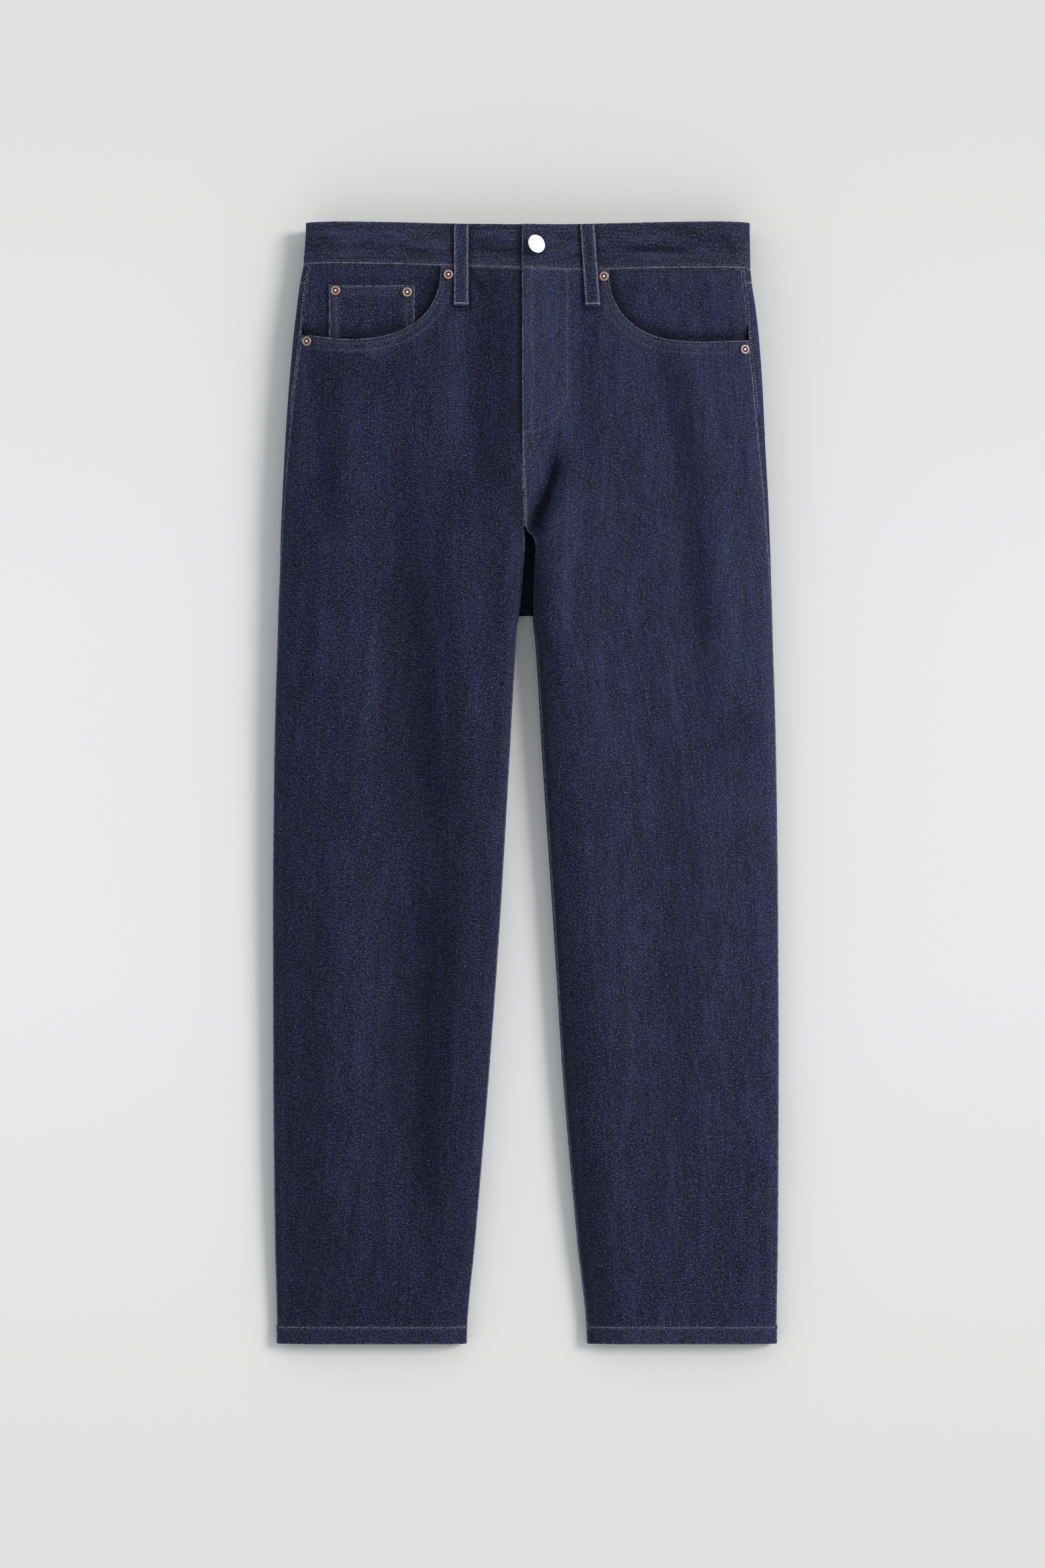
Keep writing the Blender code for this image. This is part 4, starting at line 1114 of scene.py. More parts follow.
def mouth_painted_shade(side, x, down):
    """Below 0 close inside a pocket mouth: painted shade on the cloth there."""
    return -MOUTH_PAINTED_SHADE * bell(distance_to(mouth_line(side), x, down), MOUTH_PAINTED_SHADE_REACH)


def lay_facing(side, material):
    labels = np.concatenate([[0, 0.004, 0.01, 0.02], np.linspace(0.04, 1, 56)])[None]
    share = np.concatenate([[0, 0.005, 0.012], np.linspace(0.025, 1, 34)])[:, None]
    down = mix(BAND_DEPTH, FACING_BOTTOM, share)
    out = mix(facing_seam(side, down), FACING_END, labels)
    down = mix(band_edge(side.sign * out) + SEAM_GAP, FACING_BOTTOM, share)
    grid = sunk(side, out, down, facing_depth(side, out, down))
    crease = crease_height(CREASES, side.sign * out, down) * ease(COIN_BOTTOM + 8, COIN_BOTTOM - 4, down)
    # Painted shade inside the pocket mouth, on top of the facing's fade.
    lay("pocket_facing_" + side.name, grid, CLOTH, side.sign, material, crease=crease,
        worn=side.facing_fade + mouth_painted_shade(side, side.sign * out, down), middle=30)


def lay_coin_pocket(material):
    steps = np.array(EDGE_STEPS[:10])
    out = np.concatenate([COIN_OUTER - steps, even(COIN_OUTER - 9, COIN_INNER + 9, 2.2)[1:],
                          (COIN_INNER + steps)[::-1]])[None]
    down = np.concatenate([COIN_TOP + steps, even(COIN_TOP + 9, COIN_BOTTOM, 2.2)[1:], [COIN_BOTTOM]])
    out, down = np.broadcast_arrays(out, down[:, None])
    lift = SEAM_GAP + CLOTH
    grid = sunk(RIGHT, out, down, facing_depth(RIGHT, out, down) - lift)
    edge = np.minimum(np.minimum(COIN_OUTER - out, out - COIN_INNER), down - COIN_TOP)
    relief = 0.3 * ease(8.5, 6.0, edge) + groove(edge - POCKET_ROWS[0]) + groove(edge - POCKET_ROWS[1])
    relief += pucker(out + down, 5.0, 0.1) * bell(edge - 4.5, 3.0)
    crease = crease_height(CREASES, -out, down) * ease(COIN_BOTTOM + 8, COIN_BOTTOM - 4, down)
    # Painted shade inside the pocket mouth.
    lay("coin_pocket", grid, CLOTH, -1, material, relief=relief, crease=crease,
        sewn=0.45 * near_rows(edge - POCKET_ROWS[0], edge - POCKET_ROWS[1]),
        worn=mouth_painted_shade(RIGHT, -out, down), edge=np.maximum(edge, 0), middle=20)


def tree_of(piece):
    bm = bmesh.new()
    bm.from_mesh(piece.data)
    tree = BVHTree.FromBMesh(bm)
    bm.free()
    return tree


def drop(trees, x, down, below=False):
    """The outermost place of some pieces at x and down, seen from above or from below."""
    start = Vector((x * MM, (LENGTH / 2 - down) * MM, -0.1 if below else 0.1))
    way = Vector((0, 0, 1 if below else -1))
    hits = [tree.ray_cast(start, way) for tree in trees]
    return min((hit for hit in hits if hit[0]), key=lambda hit: hit[3], default=None)


def highest(trees, x, down):
    """The highest place of some pieces over a belt loop's span, in millimetres."""
    hits = [drop(trees, x, max(down + near, FRONT_DIP + 1)) for near in (-LOOP_SPAN, 0, LOOP_SPAN)]
    return max(hit[0].z for hit in hits if hit) / MM


def lay_loop(loop, trees, material, on_floor=False):
    steps = np.array(EDGE_STEPS[:4])
    half = LOOP_WIDTH / 2
    across = close_ends(0, LOOP_WIDTH, steps, np.linspace(1.6, LOOP_WIDTH - 1.6, 8)) - half
    top = BACK_DIP if on_floor else LOOP_TOP
    rows = close_ends(top, LOOP_END, steps, even(top + 1.6, LOOP_END - 1.6, 2.0))
    centre = mix(loop.top_x, loop.end_x, rows / LOOP_END)
    x = centre[:, None] + across[None]
    down = np.broadcast_to(rows[:, None], x.shape)
    if on_floor:
        z = BACK_LOOP_LIFT
    else:
        under = np.array([[highest(trees, middle + aside, level) for aside in (-half, 0, half)]
                          for middle, level in zip(centre, rows)])
        smooth = np.array([np.convolve(np.pad(column, 2, mode="edge"), np.ones(5) / 5, "valid")
                           for column in under.T]).T
        smooth = np.maximum(smooth, under)
        share = (across / LOOP_WIDTH + 0.5) * 2
        z = np.array([np.interp(share, (0, 1, 2), row) for row in smooth]) + LOOP_LIFT + LOOP_CLOTH
    edge = np.minimum(across + half, half - across)[None] + 0 * down
    relief = groove(edge - LOOP_ROW) + pucker(down, 4.6, 0.08) * np.exp(-edge / 2.0)
    ends = np.minimum(down - top, LOOP_END - down)
    relief += groove(ends - TACK_ROW)
    if on_floor:
        relief = np.minimum(relief, 0.0) * 0.2
    lay(loop.name, points(x, down, z), LOOP_CLOTH, 1 if on_floor else -1, material, relief=relief,
        edge=np.minimum(edge, ends + 0.4), sewn=near_rows(edge - LOOP_ROW), middle=8)


def pocket_width(share):
    return BACK_POCKET_WIDTH - BACK_POCKET_TAPER * share


def lay_back_pocket(side, material):
    steps = np.array(EDGE_STEPS[:8]) / BACK_POCKET_WIDTH
    across = close_ends(0, 1, steps, np.linspace(0.045, 0.955, 45))[None] - 0.5
    share = close_ends(0, 1, steps, np.linspace(0.045, 0.955, 42))[:, None]
    x = side.sign * BACK_POCKET_CENTRE + across * pocket_width(share)
    down = BACK_POCKET_TOP + share * (BACK_POCKET_DEPTH + BACK_POCKET_POINT * (1 - 2 * np.abs(across)))
    grid = points(x, down, BACK_POCKET_LIFT)
    rim = rim_distance(grid)
    lay("back_pocket_" + side.name, grid, BACK_POCKET_CLOTH, 1, material,
        relief=0.3 * (groove(rim - POCKET_ROWS[0]) + groove(rim - POCKET_ROWS[1])), middle=26)


# ---- sewing

Thread = namedtuple("Thread", "length radius pitch slant")
TOPSTITCH = Thread(2.1, 0.27, 2.7, 0.42)
FINE_STITCH = Thread(1.9, 0.22, 2.7, 0.10)
EDGE_STITCH = Thread(1.8, 0.29, 2.35, 0.60)
BAR_STITCH = Thread(2.2, 0.30, 0.62, 0.0)
THREAD_SIDES = 6


def spin(profile, axis, steps, near):
    """Turn places round an axis into a closed form, with places nearer than near made one."""
    bm = bmesh.new()
    verts = [bm.verts.new(place) for place in profile]
    edges = [bm.edges.new(pair) for pair in zip(verts, verts[1:])]
    if profile[0][0] > 0:
        edges.append(bm.edges.new((verts[-1], verts[0])))
    bmesh.ops.spin(bm, geom=verts + edges, axis=axis, cent=(0, 0, 0), angle=math.tau, steps=steps,
                   use_merge=True)
    bmesh.ops.remove_doubles(bm, verts=bm.verts, dist=near)
    bmesh.ops.recalc_face_normals(bm, faces=bm.faces)
    return bm


def thread_form(thread):
    """One stitch along X: a spun spindle, whose ends bend down into the cloth."""
    half = thread.length / 2
    profile = [(-half, 0.0), (-half * 0.9, 0.62), (-half * 0.45, 1.0), (half * 0.45, 1.0), (half * 0.9, 0.62),
               (half, 0.0)]
    bm = spin([(along_x, 0, share * thread.radius) for along_x, share in profile], (1, 0, 0), THREAD_SIDES,
              0.0001)
    for vert in bm.verts:
        vert.co.z -= 0.75 * thread.radius * (vert.co.x / half) ** 2
    bm.verts.index_update()
    places = np.array([vert.co for vert in bm.verts])
    faces = [[vert.index for vert in face.verts] for face in bm.faces]
    bm.free()
    return places, faces


def spaced(line, pitch):
    """Places and directions at an even pitch along a line of close points."""
    line = np.asarray(line, float)
    run = np.concatenate([[0.0], np.cumsum(np.linalg.norm(np.diff(line, axis=0), axis=1))])
    count = max(1, int(run[-1] / pitch))
    stops = (np.arange(count) + 0.5) * run[-1] / count
    places = np.stack([np.interp(stops, run, line[:, i]) for i in (0, 1)], axis=1)
    ahead = np.stack([np.interp(stops + 0.5, run, line[:, i]) for i in (0, 1)], axis=1)
    behind = np.stack([np.interp(stops - 0.5, run, line[:, i]) for i in (0, 1)], axis=1)
    return places, ahead - behind


def stitch(name, rows, carriers, material, thread=TOPSTITCH, below=False):
    """Sew rows of thread onto pieces: each row is a line of (x, down), seen from above or from below."""
    trees = [tree_of(made[carrier]) for carrier in carriers]
    form, faces = thread_form(thread)
    verts = []
    polygons = []
    for row in rows:
        for number, ((x, down), (way_x, way_down)) in enumerate(zip(*spaced(row, thread.pitch))):
            hit = drop(trees, x, down, below)
            if hit is None:
                continue
            normal = hit[1].normalized()
            slant = thread.slant + 0.05 * math.sin(number * 2.4)
            way = Vector((way_x, -way_down, 0.0)).normalized()
            way = Matrix.Rotation(slant, 3, normal) @ (way - normal * way.dot(normal)).normalized()
            aside = normal.cross(way)
            size = 1 + 0.08 * math.sin(number * 1.7)
            turn = np.array([way * size, aside, normal]) * MM
            centre = np.array(hit[0] + normal * thread.radius * 0.35 * MM)
            polygons += [[index + len(verts) * len(form) for index in face] for face in faces]
            verts.append(form @ turn + centre)
    mesh = bpy.data.meshes.new(name)
    mesh.from_pydata(np.concatenate(verts).tolist(), [], polygons)
    dress(name, mesh, material)


def straight(x0, down0, x1, down1):
    """A straight row of stitches, as close points."""
    steps = max(2, int(math.hypot(x1 - x0, down1 - down0) / POINT_STEP))
    return np.stack([np.linspace(x0, x1, steps), np.linspace(down0, down1, steps)], axis=1)


def seam_line(side, down, shift):
    """Places along the side seam, shifted out past it."""
    seam = outer_edge(side, down) - along(SEAMS, down, side.name + "_inset") + shift
    return np.stack([side.sign * seam, down], axis=1)


def inner_line(side, down, shift):
    return np.stack([side.sign * (inner_edge(side, down) + shift), down], axis=1)


def sew_fronts(thread, tonal):
    waist = []
    for low, high in WAIST_ROWS:
        x = np.arange(low, high, POINT_STEP)
        waist.append(np.stack([x, band_edge(x) - BAND_ROW], axis=1))
    stitch("stitching_waistband", waist, ["waistband"], thread)
    for side in SIDES:
        mouth = [mouth_line(side, MOUTH_ROWS[0])[:340], mouth_line(side, MOUTH_ROWS[1])[:330]]
        front, back = "front_" + side.name, "back_" + side.name
        stitch("stitching_mouth_" + side.name, mouth, [front], tonal, FINE_STITCH)
        hem = np.arange(inner_edge(side, 1043) + 1.5, outer_edge(side, 1043) - 1.5, POINT_STEP)
        hem_line = np.stack([side.sign * hem, np.full(len(hem), HEM_FOLD + HEM_ROW)], axis=1)
        stitch("stitching_hem_" + side.name, [hem_line], [front, back], thread)
        down = np.arange(band_edge(0) + 1, SIDE_ROW_END, POINT_STEP)
        stitch("stitching_side_" + side.name, [seam_line(side, down, SIDE_ROW)],
               ["yoke_" + side.name, back], thread)
    crotch = inner_line(LEFT, np.arange(FLY_END + 2, CROTCH - 1, POINT_STEP), CROTCH_ROW)
    fly_edge = straight(FLY_ROW, BAND_DEPTH + 3, FLY_ROW, FLY_END - 8)
    stitch("stitching_fly", [fly_line(), fly_edge], ["front_left"], tonal, FINE_STITCH)
    stitch("stitching_crotch", [crotch], ["front_left"], thread, FINE_STITCH)
    tack = [np.array([(FLY_EDGE, FLY_END + offset), (4.5, FLY_END + offset - 0.6)]) for offset in (0.0, 1.1)]
    stitch("bar_tack_fly", tack, ["front_left"], tonal, BAR_STITCH)


def sew_coin_pocket(thread):
    level = COIN_TOP + POCKET_ROWS[0]
    rows = [straight(-COIN_OUTER + 2, level, -COIN_INNER - 2, level)]
    for inset in POCKET_ROWS:
        rows.append(straight(-COIN_OUTER + inset, COIN_TOP + 2, -COIN_OUTER + inset, COIN_BOTTOM - 2))
        rows.append(straight(-COIN_INNER - inset, COIN_TOP + 2, -COIN_INNER - inset, COIN_BOTTOM - 8))
    stitch("stitching_coin_pocket", rows, ["coin_pocket"], thread, FINE_STITCH)


def sew_loop(loop, thread, below=False):
    half = LOOP_WIDTH / 2 - LOOP_ROW
    top = BACK_DIP if below else LOOP_TOP
    rows = [straight(loop.top_x + aside, top + 1, loop.end_x + aside, LOOP_END - 1)
            for aside in (-half, half)]
    stitch("stitching_" + loop.name, rows, [loop.name], thread, EDGE_STITCH, below)
    tacks = []
    for level in (top + TACK_ROW, LOOP_END - TACK_ROW) if below else (LOOP_END - TACK_ROW,):
        centre = mix(loop.top_x, loop.end_x, level / LOOP_END)
        tacks += [straight(centre - half - 0.8, level + shift, centre + half + 0.8, level + shift)
                  for shift in (-0.45, 0.45)]
    stitch("bar_tack_" + loop.name, tacks, [loop.name], thread, BAR_STITCH, below)


def sew_back(thread):
    for side in SIDES:
        pocket = []
        for inset in POCKET_ROWS:
            corners = []
            for across, share in ((-0.5, 0.0), (-0.5, 1.0), (0.0, 1.0), (0.5, 1.0), (0.5, 0.0)):
                width = pocket_width(share) - 2 * inset
                point = BACK_POCKET_POINT * (1 - 2 * abs(across))
                down = BACK_POCKET_TOP + share * (BACK_POCKET_DEPTH + point)
                down += inset if share == 0 else -inset
                corners.append((side.sign * BACK_POCKET_CENTRE + across * width, down))
            pocket += [straight(*start, *end) for start, end in zip(corners, corners[1:])]
        across = pocket_width(0) / 2 - 2
        centre = side.sign * BACK_POCKET_CENTRE
        hem = BACK_POCKET_TOP + POCKET_HEM_ROW
        pocket.append(straight(centre - across, hem, centre + across, hem))
        stitch("stitching_back_pocket_" + side.name, pocket, ["back_pocket_" + side.name], thread,
               FINE_STITCH, True)
        x = np.arange(*YOKE_ROW_ENDS, POINT_STEP)
        yoke = [np.stack([side.sign * x, yoke_edge(x) - shift], axis=1) for shift in YOKE_ROWS]
        stitch("stitching_yoke_" + side.name, yoke, ["yoke_" + side.name], thread, FINE_STITCH, True)


# ---- metal, in profiles of (radius, height)

CAP_PROFILE = ((1.95, 0.05), (2.0, 0.3), (2.3, 0.42), (2.5, 0.9), (2.8, 1.14), (3.3, 1.26), (3.9, 1.18),
               (4.4, 0.92), (4.72, 0.5), (4.8, 0.1), (4.7, 0.0), (2.05, 0.0))
BURR_PROFILE = ((0.0, 0.0), (1.85, 0.0), (1.85, 0.16), (1.6, 0.2), (1.32, 0.32), (1.24, 0.8), (1.0, 1.1),
                (0.5, 1.26), (0.0, 1.28))
# The metal below this height is darkened as painted shade.
RECESS = 1.0               # below this height the metal is dark
CAP_STEPS = 64
BURR_STEPS = 40
BUTTON_STEPS = 96
BUTTON_PROFILE = ((0.0, 0.0), (BUTTON_NECK, 0.0), (BUTTON_NECK, 2.1), (4.2, 2.36), (7.9, 2.4), (8.7, 2.62),
                  (9.0, 3.05), (8.96, 3.45), (8.7, 3.82), (8.3, 4.02), (7.9, 4.02), (7.6, 3.84), (7.4, 3.72),
                  (6.4, 3.76), (5.2, 3.84), (5.0, 3.96), (4.8, 3.98), (4.6, 3.9), (3.0, 3.96), (1.4, 4.0),
                  (0.0, 4.0))


def seat(trees, x, down, radius):
    """Where a round piece lies on the cloth, clear of it all round, and the direction it faces."""
    angles = np.linspace(0, math.tau, 13)[:-1]
    around = [drop(trees, x + radius * math.cos(a), down + radius * math.sin(a)) for a in angles]
    centre = drop(trees, x, down)
    normal = sum((hit[1] for hit in around + [centre]), Vector()).normalized()
    lift = max((hit[0] - centre[0]).dot(normal) for hit in around)
    return centre[0] + normal * (max(lift, 0.0) + 0.15 * MM), normal


def turned(name, node, profile, centre, axis, material, steps=CAP_STEPS):
    """Spin a profile of (radius, height) into a round piece that stands on its centre along an axis."""
    bm = spin([(radius * MM, 0, height * MM) for radius, height in profile], (0, 0, 1), steps, 0.000005)
    heights = np.array([vert.co.z for vert in bm.verts]) / MM
    stand = Matrix.Translation(centre) @ axis.to_track_quat("Z", "Y").to_matrix().to_4x4()
    bmesh.ops.transform(bm, matrix=stand, verts=bm.verts)
    mesh = mesh_of(bm, name)
    recess = ease(RECESS, RECESS / 2, heights)
    mesh.attributes.new("recess", "FLOAT", "POINT").data.foreach_set("value", recess)
    dress(name, mesh, material, node)
    mesh.set_sharp_from_angle(angle=math.radians(50))


def set_metal(cap, burr, button):
    trees = [tree_of(made[name]) for name in (*UNDER_LOOPS, "coin_pocket")]
    for rivet in RIVETS:
        centre, axis = seat(trees, rivet.x, rivet.down, RIVET_RADIUS)
        turned("cap_" + rivet.name, "rivet_cap_" + rivet.name, CAP_PROFILE, centre, axis, cap)
        turned("burr_" + rivet.name, "rivet_burr_" + rivet.name, BURR_PROFILE, centre, axis, burr,
               BURR_STEPS)
    centre, axis = seat(trees[:1], BUTTON_X, BUTTON_DOWN, BUTTON_NECK)
    lean = Vector((math.cos(BUTTON_LEAN), math.sin(BUTTON_LEAN), 0)) * math.tan(BUTTON_TILT)
    clear = axis * (BUTTON_NECK * math.sin(BUTTON_TILT) + 0.1) * MM
    turned("jeans_button", "button", BUTTON_PROFILE, centre + clear, (axis + lean).normalized(), button,
           BUTTON_STEPS)


# ---- materials

# Dyed warp yarns, the weft and what fading, lint and the wrong side of the cloth show
DEEP = (0.0036, 0.0044, 0.0155, 1)
COOL = (0.0225, 0.0290, 0.1010, 1)
WARM = (0.0290, 0.0315, 0.0920, 1)
GREY_COOL = (0.0215, 0.0280, 0.0960, 1)
BAND_DEEP = (0.0056, 0.0060, 0.0165, 1)
BAND_COOL = (0.0315, 0.0370, 0.1060, 1)
BAND_WARM = (0.0430, 0.0425, 0.0920, 1)
PALE_WEFT = (0.150, 0.165, 0.225, 1)
FADED = (0.090, 0.100, 0.200, 1)
LINT = (0.34, 0.35, 0.38, 1)
REVERSE_WEFT = (0.18, 0.19, 0.23, 1)
REVERSE_WARP = (0.024, 0.030, 0.075, 1)

# What each uneven thing does to the tone of the warp
STREAK_TONE = 0.38
BAND_STREAK_TONE = 0.62
CLOUD_TONE = 0.20
SPECKLE_TONE = 0.64
TONE_START = 0.075
TONE_GAIN = 0.95
# SHADE_TONE: how much darker the warp gets where the cloth's mark is below 0, as painted shade and as a
# darker tone
SHADE_TONE = 0.30
FADE = 0.07
FADE_STREAK = 0.11

# How much of the pale weft shows, and why
WEFT_SHARE = 0.24
FLECK_SHARE = 0.56
CROSS_SHARE = 0.06
ROW_SHARE = 0.05
ROW_SPECKLE_SHARE = 0.30
RUB_SHARE = 0.95
DOUBLED_SHARE = 0.05

YARN = 0.00046             # width of a warp yarn and height of a weft yarn, in metres
PICK = 0.00062

# The grains of uneven yarn: sizes in metres on the cut map, and the levels of noise that give 0 and 1
Grain = namedtuple("Grain", "label across down detail roughness shift low high")
GRAINS = (
    Grain("Cross", 0.010, 0.0014, 3.0, 0.6, 9.0, 0.42, 0.72),
    Grain("Speckle", 0.00185, 0.00145, 1.0, 0.5, 13.0, 0.30, 0.70),
    Grain("Fleck", 0.00210, 0.0016, 2.0, 0.6, 29.0, 0.56, 0.80),
    Grain("Cloud", 0.016, 0.060, 4.0, 0.62, 17.0, 0.36, 0.64),
    Grain("Tint", 0.020, 0.070, 4.0, 0.66, 23.0, 0.34, 0.66),
)

Spun = namedtuple("Spun", "name dark pale")
RUBBED_THREAD = Spun("rubbed_thread", (0.075, 0.085, 0.140, 1), (0.370, 0.380, 0.440, 1))
TONAL_THREAD = Spun("tonal_thread", (0.0200, 0.0240, 0.060, 1), (0.110, 0.120, 0.180, 1))

Plate = namedtuple("Plate", "name colour worn roughness")
CAP_PLATE = Plate("nickel_cap", (0.25, 0.195, 0.175, 1), (0.30, 0.20, 0.165, 1), 0.40)
BURR_PLATE = Plate("copper_burr", (0.90, 0.68, 0.58, 1), (0.72, 0.40, 0.28, 1), 0.22)
BUTTON_PLATE = Plate("satin_button", (0.88, 0.86, 0.83, 1), (0.80, 0.77, 0.73, 1), 0.32)
# Painted shade in the low recess of the rivets and under the button.
RECESS_PAINTED_SHADE = (0.045, 0.020, 0.014, 1)


def add(tree, kind, *values, **settings):
    """Add a node. Values go to its inputs in order: a socket is linked, None is left, the rest are set."""
    new = tree.nodes.new("ShaderNode" + kind)
    for name, value in settings.items():
        setattr(new, name, value)
    for socket, value in zip(new.inputs, values):
        join(tree, value, socket)
    return new


def join(tree, value, socket):
    """Feed a socket: from another socket, with a constant, or not at all."""
    if isinstance(value, bpy.types.NodeSocket):
        tree.links.new(value, socket)
    elif value is not None:
        socket.default_value = value


def calc(tree, operation, *values):
    return add(tree, "Math", *values, operation=operation).outputs[0]


def plus(tree, total, *values):
    for value in values:
        total = calc(tree, "ADD", total, value)
    return total


def minus(tree, value, less):
    return calc(tree, "SUBTRACT", value, less)


def times(tree, value, factor):
    return calc(tree, "MULTIPLY", value, factor)


def blend(tree, share, low, high):
    """Mix two colours."""
    node = tree.nodes.new("ShaderNodeMix")
    node.data_type = "RGBA"
    for index, value in ((0, share), (6, low), (7, high)):
        join(tree, value, node.inputs[index])
    return node.outputs[2]


def step(tree, value, low, high):
    """A soft step of a value from low to high, as 0 to 1."""
    node = add(tree, "MapRange", value, low, high, 0.0, 1.0, interpolation_type="SMOOTHSTEP")
    return node.outputs[0]


def group(name, inputs, outputs):
    """An empty node group with named sockets; gives its tree, its input sockets and its output sockets."""
    tree = bpy.data.node_groups.new(name, "ShaderNodeTree")
    for label, kind, value in inputs:
        socket = tree.interface.new_socket(label, in_out="INPUT", socket_type="NodeSocket" + kind)
        if value is not None:
            socket.default_value = value
    for label in outputs:
        tree.interface.new_socket(label, in_out="OUTPUT", socket_type="NodeSocketFloat")
    return tree, tree.nodes.new("NodeGroupInput").outputs, tree.nodes.new("NodeGroupOutput").inputs


def stretched(tree, place, shift, scale):
    """Places moved by a shift and scaled, for a texture that is longer one way than the other."""
    return add(tree, "Mapping", place, (shift, shift * 0.7, 0.0), (0.0, 0.0, 0.0), (*scale, 1.0)).outputs[0]


def noise(tree, place, across, down, detail, roughness, shift):
    """Noise whose grains have a width and a height in metres on the cut map."""
    scaled = stretched(tree, place, shift, (1 / across, 1 / down))
    return add(tree, "TexNoise", scaled, None, 1.0, detail, roughness, noise_dimensions="2D").outputs[0]


def twill_group():
    """Right-hand twill: three warp yarns over, one pale weft under, in diagonal lines."""
    inputs = (("Place", "Vector", None), ("Yarn", "Float", YARN), ("Pick", "Float", PICK))
    tree, given, out = group("twill", inputs, ("Weft", "Height"))
    parts = add(tree, "SeparateXYZ", given["Place"]).outputs
    wander = noise(tree, given["Place"], 0.004, 0.012, 2.0, 0.5, 3.0)
    yarn = plus(tree, calc(tree, "DIVIDE", parts[0], given["Yarn"]), times(tree, wander, 2.2))
    pick = plus(tree, calc(tree, "DIVIDE", parts[1], given["Pick"]), times(tree, wander, 1.4))
    phase = calc(tree, "FRACT", times(tree, minus(tree, yarn, pick), 0.25))
    weft = step(tree, calc(tree, "ABSOLUTE", minus(tree, phase, 0.5)), 0.22, 0.06)
    bead = calc(tree, "ABSOLUTE", calc(tree, "SINE", times(tree, yarn, math.pi)))
    rib = calc(tree, "ABSOLUTE", calc(tree, "SINE", times(tree, pick, math.pi)))
    bead = times(tree, bead, minus(tree, 1.0, times(tree, weft, 0.7)))
    join(tree, times(tree, weft, step(tree, rib, 0.1, 0.9)), out["Weft"])
    join(tree, plus(tree, bead, times(tree, rib, 0.25)), out["Height"])
    return tree


def yarn_group():
    """Uneven yarn: thick and thin stretches down the warp, the grains of the table, and specks of lint."""
    labels = ("Streak", *(grain.label for grain in GRAINS), "Nep")
    tree, given, out = group("uneven_yarn", (("Place", "Vector", None),), labels)
    place = given["Place"]
    fine = noise(tree, place, 0.0017, 0.022, 3.0, 0.6, 1.0)
    broad = noise(tree, place, 0.0060, 0.120, 2.0, 0.5, 5.0)
    streak = plus(tree, times(tree, fine, 0.72), times(tree, broad, 0.28))
    join(tree, step(tree, streak, 0.36, 0.66), out["Streak"])
    for grain in GRAINS:
        level = noise(tree, place, grain.across, grain.down, grain.detail, grain.roughness, grain.shift)
        join(tree, step(tree, level, grain.low, grain.high), out[grain.label])
    cell = add(tree, "TexVoronoi", stretched(tree, place, 0.0, (95.0, 80.0)), None, 1.0,
               voronoi_dimensions="2D").outputs
    chance = add(tree, "SeparateColor", cell["Color"]).outputs[0]
    speck = step(tree, cell["Distance"], 0.042, 0.018)
    join(tree, times(tree, speck, step(tree, chance, 0.93, 1.0)), out["Nep"])
    return tree


def seam_group():
    """Masks by the distance from a sewn edge: the rubbed edge itself, and the doubled band beside it."""
    inputs = (("Edge", "Float", 50.0), ("Place", "Vector", None))
    tree, given, out = group("sewn_edge", inputs, ("Rub", "Band"))
    rough = noise(tree, given["Place"], 0.002, 0.004, 3.0, 0.6, 21.0)
    rubbed = step(tree, given["Edge"], 1.5, 0.3)
    doubled = step(tree, given["Edge"], 13.0, 11.0)
    join(tree, times(tree, rubbed, step(tree, rough, 0.3, 0.7)), out["Rub"])
    join(tree, times(tree, doubled, step(tree, rough, 0.2, 0.8)), out["Band"])
    return tree


def place_group(tree, source, **links):
    """Put a node group in a material's tree and feed its inputs by name."""
    node = tree.nodes.new("ShaderNodeGroup")
    node.node_tree = source
    for name, value in links.items():
        join(tree, value, node.inputs[name])
    return node.outputs


def material_tree(name):
    material = bpy.data.materials.new(name)
    material.use_nodes = True
    return material, material.node_tree, material.node_tree.nodes["Principled BSDF"]


def mark(tree, label):
    """A value that a piece holds at each of its points."""
    return add(tree, "Attribute", attribute_name=label).outputs["Fac"]


